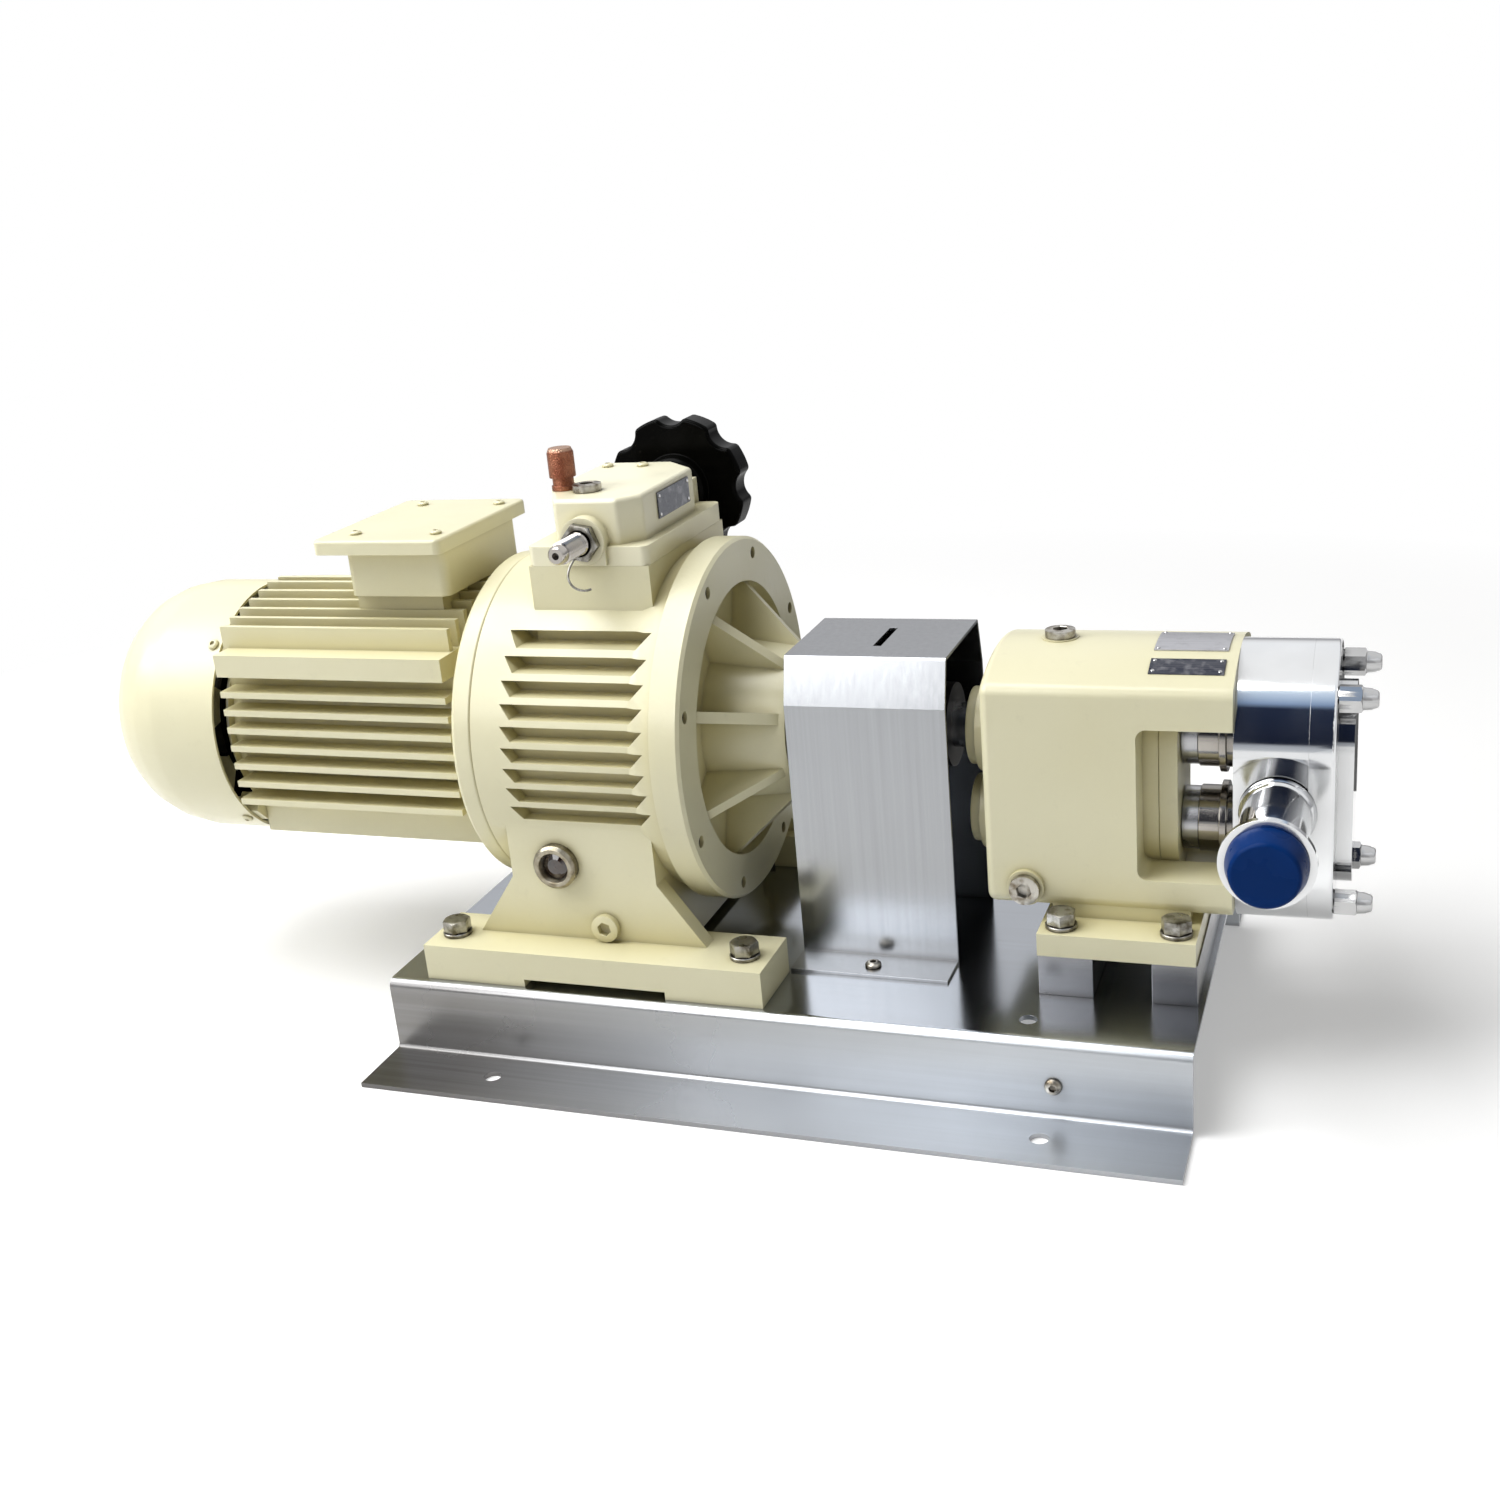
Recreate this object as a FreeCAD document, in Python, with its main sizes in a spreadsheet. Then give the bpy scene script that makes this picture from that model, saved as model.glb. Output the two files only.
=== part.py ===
"""Rotary lobe pump on a skid: motor, planetary speed variator, guarded coupling, two-shaft pump.

X runs along the main shaft from the motor to the pump, Z is up and Z = 0 is the underside of
the base. The origin is the centre of the four anchor holes. Lengths are in millimetres and
every driving size is a cell of the sheet, so a changed cell moves all that depends on it.
"""
import FreeCAD
import Part
import Sketcher
import math
import os

SIZES = {
    # base: one bent sheet in the shape of a hat
    "base_length": 506.0, "base_half": 134.5, "flange_half": 182.3, "base_top": 51.0,
    "base_sheet": 3.0, "base_bend": 3.0,
    "anchor_x": 172.0, "anchor_y": 158.0, "anchor_r": 5.5, "spare_hole_x": 158.0, "spare_hole_y": 111.0,
    "foot_hole_r": 5.3, "guard_hole_r": 3.3, "small_hole_r": 2.3, "plug_hole_r": 6.8,
    "bolt_head": 8.0, "bolt_half_flats": 8.5, "bolt_r": 5.0, "washer_thick": 2.5,
    "web_screw_x": 176.0, "web_screw_z": 23.0,
    # shaft lines
    "shaft_z": 190.0, "shaft_spacing": 54.0,
    # clearances
    "seat_gap": 0.02, "running_gap": 0.05, "loose_gap": 0.3, "side_gap": 0.3,
    # motor
    "cowl_end_x": -492.0, "cowl_rim_x": -389.5, "cowl_r": 88.2, "cowl_wall": 1.8,
    "frame_rear_x": -384.0, "frame_front_x": -208.0, "frame_r": 72.0, "frame_bore": 63.0,
    "fin_reach": 85.0, "fin_thick": 4.2, "fin_step": 12.6, "fin_first": -43.0,
    "frame_crown": 76.5, "crown_step": 3.0, "frame_belly": 70.0,
    "core_rear_x": -348.0, "core_front_x": -254.0, "gap_r": 35.0, "air_gap": 0.6,
    "fan_x": -412.0, "motor_shaft_r": 12.0, "motor_bearing_r": 26.0, "motor_bearing_width": 14.0,
    "box_base_z": 283.0, "box_top_z": 313.0, "lid_top_z": 322.5,
    "box_rear_x": -290.0, "box_front_x": -217.0, "box_half": 50.0,
    "lid_rear_x": -306.0, "lid_front_x": -213.0, "lid_half": 61.0,
    "gland_z": 298.0, "gland_bore": 5.0,
    # variator
    "ring_rear_x": -198.0, "housing_rear_x": -183.0, "housing_front_x": -60.0, "cover_face_x": -41.0,
    "ring_r": 107.7, "housing_r": 108.0, "housing_bore": 88.0, "cover_r": 116.2,
    "rib_first_z": 151.0, "rib_step": 13.1, "rib_thick": 4.0, "rib_root": 98.5,
    "recess_r": 88.0, "recess_x": -53.0, "hub_root": 52.0, "hub_r": 46.0, "hub_end_x": 0.0,
    "cover_rib_thick": 7.0, "cover_screw_r": 106.0, "cover_turn": 26.0,
    "output_r": 17.5, "output_bearing_r": 33.0, "output_bearing_width": 16.0,
    "foot_rear_x": -227.5, "foot_front_x": 1.5, "foot_out": 127.0, "foot_in": 77.5, "foot_top": 74.4,
    "foot_bolt_rear_x": -213.0, "foot_bolt_front_x": -15.0, "foot_bolt_y": 107.0,
    "pedestal_rear_x": -171.0, "pedestal_front_x": -72.0, "pedestal_half": 100.0,
    "sight_x": -138.0, "sight_z": 124.5, "drain_x": -109.0, "drain_z": 84.0,
    "pad_rear_x": -151.0, "pad_front_x": -71.0, "pad_top": 306.0, "control_flange": 12.0,
    "control_top": 346.0, "control_half": 58.0, "control_face_x": -78.0,
    "control_screw_rear_x": -140.0, "control_screw_front_x": -115.0, "control_screw_y": 43.0,
    "breather_x": -138.0, "breather_y": -27.0, "filler_x": -119.5, "filler_y": -33.0,
    "spindle_x": -111.0, "spindle_z": 322.0, "spindle_r": 7.0, "wheel_r": 48.0, "wheel_y": 84.0,
    # planetary drive
    "planet_x": -134.0, "planet_orbit": 52.0, "planet_r": 27.0, "planet_hub": 10.0,
    "planet_half": 7.0, "planet_rim": 1.5, "sun_r": 33.0, "race_r": 71.0, "race_width": 14.0,
    "cam_notch_half": 6.0,
    # coupling and guard
    "hub_a_x": 4.0, "jaw_rear_x": 42.0, "jaw_front_x": 58.0, "hub_b_x": 96.0, "coupling_r": 32.0,
    "guard_rear_x": 2.3, "guard_front_x": 102.3, "guard_half": 49.8, "guard_fold_z": 216.0,
    "guard_top_half": 41.5, "guard_top_z": 245.5, "guard_flange": 77.0, "guard_sheet": 2.0,
    "guard_screw_y": 65.0, "guard_slot_half": 19.5, "guard_slot_width": 5.0,
    # pump
    "body_rear_x": 124.0, "body_front_x": 266.0, "body_half": 57.0, "body_bottom": 97.0, "body_top": 245.5,
    "body_crown": 135.0, "body_wall": 10.0, "gear_room_x": 142.0, "wall_x": 204.0, "wall_front_x": 222.0,
    "window_x": 213.0, "bearing_plate_r": 31.0, "window_low": 118.0, "window_high": 210.0,
    "pump_bearing_r": 26.0, "pump_bearing_width": 16.0, "pump_shaft_r": 15.0,
    "pump_foot_rear_x": 158.0, "pump_foot_front_x": 248.5, "pump_foot_half": 81.0,
    "pump_foot_low": 77.0, "pump_foot_top": 91.0, "pump_bolt_rear_x": 170.5, "pump_bolt_front_x": 236.5,
    "pump_bolt_y": 69.0, "cap_x": 107.0, "upper_cap_r": 28.0, "lower_cap_r": 25.0,
    "level_x": 148.0, "level_z": 110.0, "pump_filler_x": 161.0, "pump_filler_y": 4.0,
    "plate_front_x": 233.0, "seal_x": 243.0, "seal_r": 20.0, "label_rear_x": 218.5, "label_front_x": 260.0,
    "casing_wall_x": 274.0, "casing_front_x": 306.0, "casing_r": 56.0,
    "cover_front_x": 320.0, "cover_boss_x": 329.0, "cover_boss_r": 33.0, "rotor_r": 36.0, "rotor_shaft_r": 10.0,
    "rotor_relief": 0.12,
    "gear_teeth": 27.0, "gear_rear_x": 152.0, "gear_front_x": 176.0, "gear_relief": 0.12,
    "stud_y": 34.0, "stud_z": 34.0, "stud_r": 4.0, "cover_nut_flats": 7.2,
    "port_x": 290.0, "port_face_y": 127.0, "port_tube_r": 19.05, "port_bore": 17.4, "port_inner": 13.5,
    "ferrule_r": 25.25, "port_recess_r": 33.0, "port_recess": 1.2,
}

doc = FreeCAD.newDocument("lobe_pump_unit")
sheet = doc.addObject("Spreadsheet::Sheet", "Sizes")
PLANES = {"XY": "XY_Plane", "XZ": "XZ_Plane", "YZ": "YZ_Plane"}
parts = []


class Size:
    """A number that carries the sheet formula it comes from."""

    def __init__(self, value, text):
        self.value = value
        self.text = text

    def join(self, sign, other, value):
        return Size(value, f"({self.text} {sign} {other.text})")

    def __add__(self, other):
        other = size(other)
        return self.join("+", other, self.value + other.value)

    def __sub__(self, other):
        other = size(other)
        return self.join("-", other, self.value - other.value)

    def __mul__(self, other):
        other = size(other)
        return self.join("*", other, self.value * other.value)

    def __truediv__(self, other):
        other = size(other)
        return self.join("/", other, self.value / other.value)

    def __radd__(self, other):
        return size(other) + self

    def __rsub__(self, other):
        return size(other) - self

    def __rmul__(self, other):
        return size(other) * self

    def __neg__(self):
        return size(0.0) - self


def size(number):
    if isinstance(number, Size):
        return number
    return Size(float(number), f"{float(number):.6f}")


def root(number):
    return Size(math.sqrt(number.value), f"sqrt({number.text})")


def fill_sheet():
    """Write every size into its own named cell and return the named sizes."""
    named = {}
    for row, (name, value) in enumerate(SIZES.items(), 1):
        sheet.set(f"A{row}", name)
        sheet.set(f"B{row}", f"{value}")
        sheet.setAlias(f"B{row}", name)
        named[name] = Size(value, f"Sizes.{name}")
    doc.recompute()
    return named


def bind(thing, path, number):
    thing.setExpression(path, size(number).text)


def body(name, x=0.0, y=0.0, z=0.0, turn=None):
    """A new named sub-part. turn = (axis, degrees) lays its own X along another direction."""
    made = doc.addObject("PartDesign::Body", name)
    made.Label = name
    if turn:
        rotation = FreeCAD.Rotation(FreeCAD.Vector(*turn[0]), turn[1])
        made.Placement = FreeCAD.Placement(FreeCAD.Vector(), rotation)
    for path, number in (("x", x), ("y", y), ("z", z)):
        bind(made, f"Placement.Base.{path}", number)
    parts.append(made)
    return made


def sketch_on(owner, plane, offset=0.0):
    sketch = owner.newObject("Sketcher::SketchObject", f"{owner.Name}_sketch")
    for feature in owner.Origin.OriginFeatures:
        if feature.Role == PLANES[plane]:
            sketch.AttachmentSupport = [(feature, "")]
    sketch.MapMode = "FlatFace"
    bind(sketch, "AttachmentOffset.Base.z", offset)
    return sketch


def name_limit(sketch, constraint, number):
    index = sketch.addConstraint(constraint)
    sketch.renameConstraint(index, f"size{index}")
    bind(sketch, f"Constraints.size{index}", number)


def pin(sketch, edge, end, spot):
    """Fix one point of an edge at two sheet-driven coordinates."""
    for kind, number in zip(("DistanceX", "DistanceY"), spot):
        name_limit(sketch, Sketcher.Constraint(kind, -1, 1, edge, end, size(number).value), number)


def draw_loop(sketch, corners):
    """A closed polygon whose every corner is driven by the sheet."""
    spots = [FreeCAD.Vector(size(a).value, size(b).value, 0) for a, b in corners]
    start = sketch.GeometryCount
    count = len(spots)
    for index in range(count):
        sketch.addGeometry(Part.LineSegment(spots[index], spots[(index + 1) % count]), False)
    for index in range(count):
        following = start + (index + 1) % count
        sketch.addConstraint(Sketcher.Constraint("Coincident", start + index, 2, following, 1))
        pin(sketch, start + index, 1, corners[index])


def draw_box(sketch, low, high):
    draw_loop(sketch, [low, (high[0], low[1]), high, (low[0], high[1])])


def draw_circle(sketch, spot, radius):
    centre = FreeCAD.Vector(size(spot[0]).value, size(spot[1]).value, 0)
    edge = sketch.addGeometry(Part.Circle(centre, FreeCAD.Vector(0, 0, 1), size(radius).value), False)
    pin(sketch, edge, 3, spot)
    name_limit(sketch, Sketcher.Constraint("Radius", edge, size(radius).value), radius)


def draw_hexagon(sketch, spot, flats):
    """A hexagon given by half its width across the flats."""
    x, y = spot
    tall = flats * 0.57735
    far = flats * 1.1547
    draw_loop(sketch, [(x + flats, y - tall), (x + flats, y + tall), (x, y + far),
                       (x - flats, y + tall), (x - flats, y - tall), (x, y - far)])


def draw_stadium(sketch, low, high, radius):
    """Two half circles joined by straight sides. low and high are the heights of their centres."""
    centres = (size(high), size(low))
    reach = size(radius)
    start = sketch.GeometryCount
    for centre, first in zip(centres, (0.0, math.pi)):
        circle = Part.Circle(FreeCAD.Vector(0, centre.value, 0), FreeCAD.Vector(0, 0, 1), reach.value)
        sketch.addGeometry(Part.ArcOfCircle(circle, first, first + math.pi), False)
    corners = [(reach, centres[0]), (-reach, centres[0]), (-reach, centres[1]), (reach, centres[1])]
    spots = [FreeCAD.Vector(a.value, b.value, 0) for a, b in corners]
    sketch.addGeometry(Part.LineSegment(spots[1], spots[2]), False)
    sketch.addGeometry(Part.LineSegment(spots[3], spots[0]), False)
    for pair in ((start, 2, start + 2, 1), (start + 2, 2, start + 1, 1),
                 (start + 1, 2, start + 3, 1), (start + 3, 2, start, 1)):
        sketch.addConstraint(Sketcher.Constraint("Coincident", *pair))
    for index, edge in enumerate((start, start + 1)):
        pin(sketch, edge, 3, (0.0, centres[index]))
        name_limit(sketch, Sketcher.Constraint("Radius", edge, reach.value), reach)
    for index, edge, end in ((0, start, 1), (1, start, 2), (2, start + 1, 1), (3, start + 1, 2)):
        height = corners[index][1]
        name_limit(sketch, Sketcher.Constraint("DistanceY", -1, 1, edge, end, height.value), height)


def circles(spots, radius):
    """Each of these returns what fills a sketch: here one circle for each spot."""
    return lambda sketch: [draw_circle(sketch, spot, radius) for spot in spots]


def hexagons(spots, flats):
    return lambda sketch: [draw_hexagon(sketch, spot, size(flats)) for spot in spots]


def loops(*outlines):
    return lambda sketch: [draw_loop(sketch, outline) for outline in outlines]


def boxes(*pairs):
    return lambda sketch: [draw_box(sketch, low, high) for low, high in pairs]


def stadium(*radii):
    """Outlines round both pump shafts."""
    return lambda sketch: [draw_stadium(sketch, DRIVEN_Z, DRIVE_Z, radius) for radius in radii]


def feature_on(owner, kind, sketch):
    made = owner.newObject(f"PartDesign::{kind}", f"{owner.Name}_{kind}")
    made.Profile = sketch
    sketch.Visibility = False
    return made


def swept(owner, kind, plane, low, high, draw):
    """Pad or pocket whatever draw puts in the sketch, from low to high along the plane's world axis."""
    offset = -size(high) if plane == "XZ" else size(low)
    sketch = sketch_on(owner, plane, offset)
    draw(sketch)
    made = feature_on(owner, kind, sketch)
    bind(made, "Length", size(high) - low)
    made.Reversed = kind == "Pocket"
    return made


def add(owner, plane, low, high, draw):
    return swept(owner, "Pad", plane, low, high, draw)


def cut(owner, plane, low, high, draw):
    return swept(owner, "Pocket", plane, low, high, draw)


def add_box(owner, low, high):
    return add(owner, "XY", low[2], high[2], boxes((low[:2], high[:2])))


def cut_box(owner, low, high):
    return cut(owner, "XY", low[2], high[2], boxes((low[:2], high[:2])))


def turned(owner, *outlines, groove=False):
    """Turn closed outlines, given as (along, radius), round the sub-part's own X axis."""
    sketch = sketch_on(owner, "XZ")
    for outline in outlines:
        draw_loop(sketch, outline)
    made = feature_on(owner, "Groove" if groove else "Revolution", sketch)
    made.ReferenceAxis = (sketch, ["H_Axis"])
    made.Angle = 360.0
    return made


def turned_about(owner, kind, plane, offset, outline, start, end):
    """Turn a closed outline round the line from start to end in its own sketch."""
    sketch = sketch_on(owner, plane, offset)
    draw_loop(sketch, outline)
    spots = [FreeCAD.Vector(size(a).value, size(b).value, 0) for a, b in (start, end)]
    line = sketch.addGeometry(Part.LineSegment(*spots), True)
    pin(sketch, line, 1, start)
    pin(sketch, line, 2, end)
    made = feature_on(owner, kind, sketch)
    made.ReferenceAxis = (sketch, ["Axis0"])
    made.Angle = 360.0
    return made


def tube(low, high, inner, outer):
    return [(low, inner), (high, inner), (high, outer), (low, outer)]


def round_pattern(owner, features, count):
    """Repeat features evenly round the sub-part's own X axis."""
    sketch = sketch_on(owner, "YZ")
    sketch.addGeometry(Part.Point(FreeCAD.Vector(0, 0, 0)), True)
    made = owner.newObject("PartDesign::PolarPattern", f"{owner.Name}_around")
    made.Originals = features
    made.Axis = (sketch, ["N_Axis"])
    made.Angle = 360.0
    made.Occurrences = count
    sketch.Visibility = False
    owner.Tip = made
    return made


def round_edges(owner, feature, radius, wanted):
    """Fillet the edges whose middle passes the test wanted(point)."""
    doc.recompute()
    names = []
    for index, edge in enumerate(feature.Shape.Edges, 1):
        if wanted(edge.CenterOfMass, edge):
            names.append(f"Edge{index}")
    made = owner.newObject("PartDesign::Fillet", f"{owner.Name}_round")
    made.Base = (feature, names)
    bind(made, "Radius", radius)
    return made


def along(axis):
    """A test for straight edges parallel to one axis."""
    def test(point, edge):
        line = edge.Curve
        return isinstance(line, Part.Line) and abs(abs(getattr(line.Direction, axis)) - 1.0) < 1e-6
    return test


def polar(radius, degrees):
    turn = math.radians(degrees)
    return (size(radius) * math.cos(turn), size(radius) * math.sin(turn))


def bolts(name, spots, seat, length):
    """Hex bolts on washers, standing on the plane Z = seat, one separate solid for each spot."""
    made = body(name)
    flats, top = D["bolt_half_flats"], seat + D["washer_thick"]
    add(made, "XY", seat, top + D["bolt_head"], hexagons(spots, flats))
    add(made, "XY", seat, top, circles(spots, flats * 1.35))
    add(made, "XY", seat - length, seat, circles(spots, D["bolt_r"]))


def corners_of(x_pair, y):
    return [(x, side * y) for x in x_pair for side in (-1, 1)]


D = fill_sheet()
DRIVE_Z = D["shaft_z"]
DRIVEN_Z = DRIVE_Z - D["shaft_spacing"]
PORT_Z = DRIVE_Z - D["shaft_spacing"] / 2
TO_Y = ((0, 0, 1), 90)
TO_MINUS_Y = ((0, 0, 1), -90)
TO_Z = ((0, 1, 0), -90)
FOOT_SPOTS = corners_of((D["foot_bolt_rear_x"], D["foot_bolt_front_x"]), D["foot_bolt_y"])
PUMP_SPOTS = corners_of((D["pump_bolt_rear_x"], D["pump_bolt_front_x"]), D["pump_bolt_y"])
GUARD_X = (D["guard_rear_x"] + D["guard_front_x"]) / 2


# Base and guard

def base_plate():
    made = body("base_plate")
    top, low, high, wide = D["base_top"], D["base_sheet"], D["base_half"], D["flange_half"]
    inner = high - low
    half = D["base_length"] / 2
    outline = [(wide, 0), (wide, low), (high, low), (high, top), (-high, top), (-high, low), (-wide, low),
               (-wide, 0), (-inner, 0), (-inner, top - low), (inner, top - low), (inner, 0)]
    hat = add(made, "YZ", -half, half, loops(outline))

    def outer_bend(point, edge):
        at_top = abs(point.z - top.value) < 0.1 and abs(abs(point.y) - high.value) < 0.1
        at_foot = abs(point.z) < 0.1 and abs(abs(point.y) - inner.value) < 0.1
        return along("x")(point, edge) and (at_top or at_foot)

    def inner_bend(point, edge):
        at_top = abs(point.z - top.value + low.value) < 0.1 and abs(abs(point.y) - inner.value) < 0.1
        at_foot = abs(point.z - low.value) < 0.1 and abs(abs(point.y) - high.value) < 0.1
        return along("x")(point, edge) and (at_top or at_foot)

    bent = round_edges(made, hat, D["base_bend"] + low, outer_bend)
    round_edges(made, bent, D["base_bend"], inner_bend)
    anchors = corners_of((-D["anchor_x"], D["anchor_x"]), D["anchor_y"])
    cut(made, "XY", -1, low + 1, circles(anchors, D["anchor_r"]))
    plate_holes = FOOT_SPOTS + PUMP_SPOTS + [(D["spare_hole_x"], -D["spare_hole_y"])]
    cut(made, "XY", top - low - 1, top + 1, circles(plate_holes, D["foot_hole_r"]))
    small = [(GUARD_X, side * D["guard_screw_y"]) for side in (-1, 1)]
    cut(made, "XY", top - low - 1, top + 1, circles(small, D["guard_hole_r"]))
    cut(made, "XZ", -high - 1, -inner + 1, circles([(D["web_screw_x"], D["web_screw_z"])], D["guard_hole_r"]))


def riser_bars():
    made = body("riser_bars")
    low, high = D["base_top"], D["pump_foot_low"]
    half = D["pump_foot_half"] - 2
    rear, front = D["pump_foot_rear_x"], D["pump_foot_front_x"]
    bars = ((rear, -half), (rear + 32, half)), ((front - 25, -half), (front + 1, half))
    add(made, "XY", low, high, boxes(*bars))
    cut(made, "XY", low - 1, high + 1, circles(PUMP_SPOTS, D["foot_hole_r"]))


def coupling_guard():
    made = body("coupling_guard")
    thick, low, half = D["guard_sheet"], D["base_top"], D["guard_half"]
    fold, crown, peak, rim = D["guard_fold_z"], D["guard_top_half"], D["guard_top_z"], D["guard_flange"]
    right = [(rim, low), (rim, low + thick), (half, low + thick), (half, fold), (crown, peak)]
    inside = [(crown - thick * 0.75, peak - thick), (half - thick, fold - thick * 0.3), (half - thick, low)]
    mirrored = [(-a, b) for a, b in reversed(right)] + [(-a, b) for a, b in reversed(inside)]
    outline = right + mirrored + inside
    sheet_metal = add(made, "YZ", D["guard_rear_x"], D["guard_front_x"], loops(outline))

    def fold_edge(point, edge):
        return along("x")(point, edge) and point.z > peak.value - 0.1

    round_edges(made, sheet_metal, 2.5, fold_edge)
    reach, wide, slot_x = D["guard_slot_half"], D["guard_slot_width"] / 2, GUARD_X + 2
    cut(made, "XY", peak - thick - 1, peak + 1, boxes(((slot_x - wide, -reach), (slot_x + wide, reach))))
    spots = [(GUARD_X, side * D["guard_screw_y"]) for side in (-1, 1)]
    cut(made, "XY", low - 1, low + thick + 1, circles(spots, D["guard_hole_r"]))


def base_screws():
    """Button-head screws: two hold the guard, one is the earth screw in the web."""
    made = body("base_screws")
    seat = D["base_top"] + D["guard_sheet"]
    spots = [(GUARD_X, side * D["guard_screw_y"]) for side in (-1, 1)]
    add(made, "XY", seat, seat + 3.2, circles(spots, 5.0))
    add(made, "XY", seat - 10, seat, circles(spots, 3.0))
    cut(made, "XY", seat + 1.2, seat + 4, hexagons(spots, 2.0))
    web = -D["base_half"]
    spot = (D["web_screw_x"], D["web_screw_z"])
    add(made, "XZ", web - 3.2, web, circles([spot], 5.0))
    add(made, "XZ", web, web + 8, circles([spot], 3.0))
    cut(made, "XZ", web - 4, web - 1.2, hexagons([spot], 2.0))


# Motor

def motor_frame():
    """Tube with long fins: seven and a shoulder on each side, upright ones above and below."""
    made = body("motor_frame", z=DRIVE_Z)
    rear, front, core = D["frame_rear_x"], D["frame_front_x"], D["frame_r"]
    turned(made, tube(rear, front, D["frame_bore"], core))
    reach, thick = D["fin_reach"], D["fin_thick"]

    def side_fins(sketch):
        for side in (-1, 1):
            for index in range(7):
                low = D["fin_first"] + D["fin_step"] * index
                draw_box(sketch, (side * 55.0, low), (side * reach, low + thick))
            draw_box(sketch, (side * 48.0, 47.0), (side * reach, 62.0))

    def upright_fins(sketch):
        for side in (-1, 1):
            for index in range(6):
                middle = side * (6.5 + 11.8 * index)
                left, right = middle - thick / 2, middle + thick / 2
                draw_box(sketch, (left, 35.0), (right, D["frame_crown"] + D["crown_step"] * (5 - index)))
                if index < 5:
                    draw_box(sketch, (left, -D["frame_belly"] - 4), (right, -45.0))

    add(made, "YZ", rear + 4, front - 2, side_fins)
    add(made, "YZ", rear, front - 4, upright_fins)
    add_box(made, (D["box_rear_x"], -42.0, 50.0), (D["box_front_x"] - 10, 42.0, D["box_base_z"] - DRIVE_Z))
    turned(made, tube(rear - 1, front + 1, 0, D["frame_bore"]), groove=True)


def motor_end_shields():
    """The drive-end shield meets the variator; the rear one has four arms that carry the fan cowl."""
    made = body("motor_end_shields", z=DRIVE_Z)
    front, rear, ring = D["frame_front_x"], D["frame_rear_x"], D["ring_rear_x"]
    seat = D["motor_bearing_r"] + D["seat_gap"]
    width = D["motor_bearing_width"]
    shaft_hole = D["motor_shaft_r"] + 1.5
    spigot = D["frame_bore"] - D["seat_gap"]
    drive_end = [(front - 5, seat + 6), (front - 5, spigot), (front, spigot), (front, 80.0), (ring, 80.0),
                 (ring, shaft_hole), (ring - 4, shaft_hole), (ring - 4, seat),
                 (ring - 4 - width, seat), (ring - 4 - width, seat + 6)]
    back = rear - 12
    rear_end = [(rear + 5, seat + 6), (rear + 5, spigot), (rear, spigot), (rear, 78.0), (back + 4, 70.0),
                (back, 40.0), (back, shaft_hole), (back + 4, shaft_hole),
                (back + 4, seat), (back + 4 + width, seat), (back + 4 + width, seat + 6)]
    turned(made, drive_end, rear_end)
    arm_reach = D["cowl_r"] - D["cowl_wall"] - D["loose_gap"]
    arms = []
    for quarter in range(4):
        a, b = polar(1.0, 45 + 90 * quarter)
        across = (b * -7.0, a * 7.0)
        corners = ((72.0, -1), (arm_reach, -1), (arm_reach, 1), (72.0, 1))
        arms.append([(a * r + across[0] * side, b * r + across[1] * side) for r, side in corners])
    add(made, "YZ", D["cowl_rim_x"] - 12, rear, loops(*arms))
    for quarter in range(4):
        drill_cowl_screw(made, quarter)


def cowl_screw_spot():
    return D["cowl_rim_x"] - 6


def drill_cowl_screw(owner, quarter):
    """One radial hole through the cowl and its arm."""
    sketch = sketch_on(owner, "XY", 70.0)
    draw_circle(sketch, (cowl_screw_spot(), 0.0), D["small_hole_r"])
    turn_about_shaft(sketch, 45 + 90 * quarter, 70.0)
    made = feature_on(owner, "Pocket", sketch)
    made.Reversed = True
    made.Length = 30.0


def turn_about_shaft(sketch, degrees, reach):
    """Stand a flat sketch on a radius of the shaft, facing outwards at the given angle from +Y."""
    lean = degrees - 90
    sketch.MapMode = "Deactivated"
    turn = FreeCAD.Rotation(FreeCAD.Vector(1, 0, 0), lean)
    sketch.Placement = FreeCAD.Placement(turn.multVec(FreeCAD.Vector(0, 0, reach)), turn)


def fan_cowl():
    """Spun steel cap with a rounded back and rings of air holes."""
    made = body("fan_cowl", z=DRIVE_Z)
    rim, end, wall, outer = D["cowl_rim_x"], D["cowl_end_x"], D["cowl_wall"], D["cowl_r"]
    arc = [(-48.0, 1.0), (-66.0, 0.965), (-80.0, 0.90), (-90.0, 0.815), (-97.0, 0.71)]
    outside = [(rim, outer)] + [(rim + step, outer * share) for step, share in arc] + [(end, outer * 0.55)]
    inside = [(rim, outer - wall)]
    inside += [(rim + step + wall * 0.4, outer * share - wall) for step, share in arc]
    inside += [(end + wall, outer * 0.55 - wall * 0.6), (end + wall, 0.0)]
    turned(made, outside + [(end, 0.0)] + list(reversed(inside)))
    for radius, count in ((14.0, 6), (27.0, 12), (40.0, 18)):
        hole = cut(made, "YZ", end - 1, end + 5, circles([(0.0, radius)], 4.2))
        round_pattern(made, [hole], count)
    for quarter in range(4):
        drill_cowl_screw(made, quarter)


def stator():
    made = body("stator_core", z=DRIVE_Z)
    turned(made, tube(D["core_rear_x"], D["core_front_x"], D["gap_r"], D["frame_bore"] - D["seat_gap"]))
    made = body("stator_windings", z=DRIVE_Z)
    ring = [(3, 39.0), (11, 39.0), (14, 42.0), (14, 55.0), (11, 58.0), (3, 58.0), (0, 55.0), (0, 42.0)]
    turned(made, *[[(low + step, r) for step, r in ring] for low in (D["core_rear_x"] - 14, D["core_front_x"])])


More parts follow.
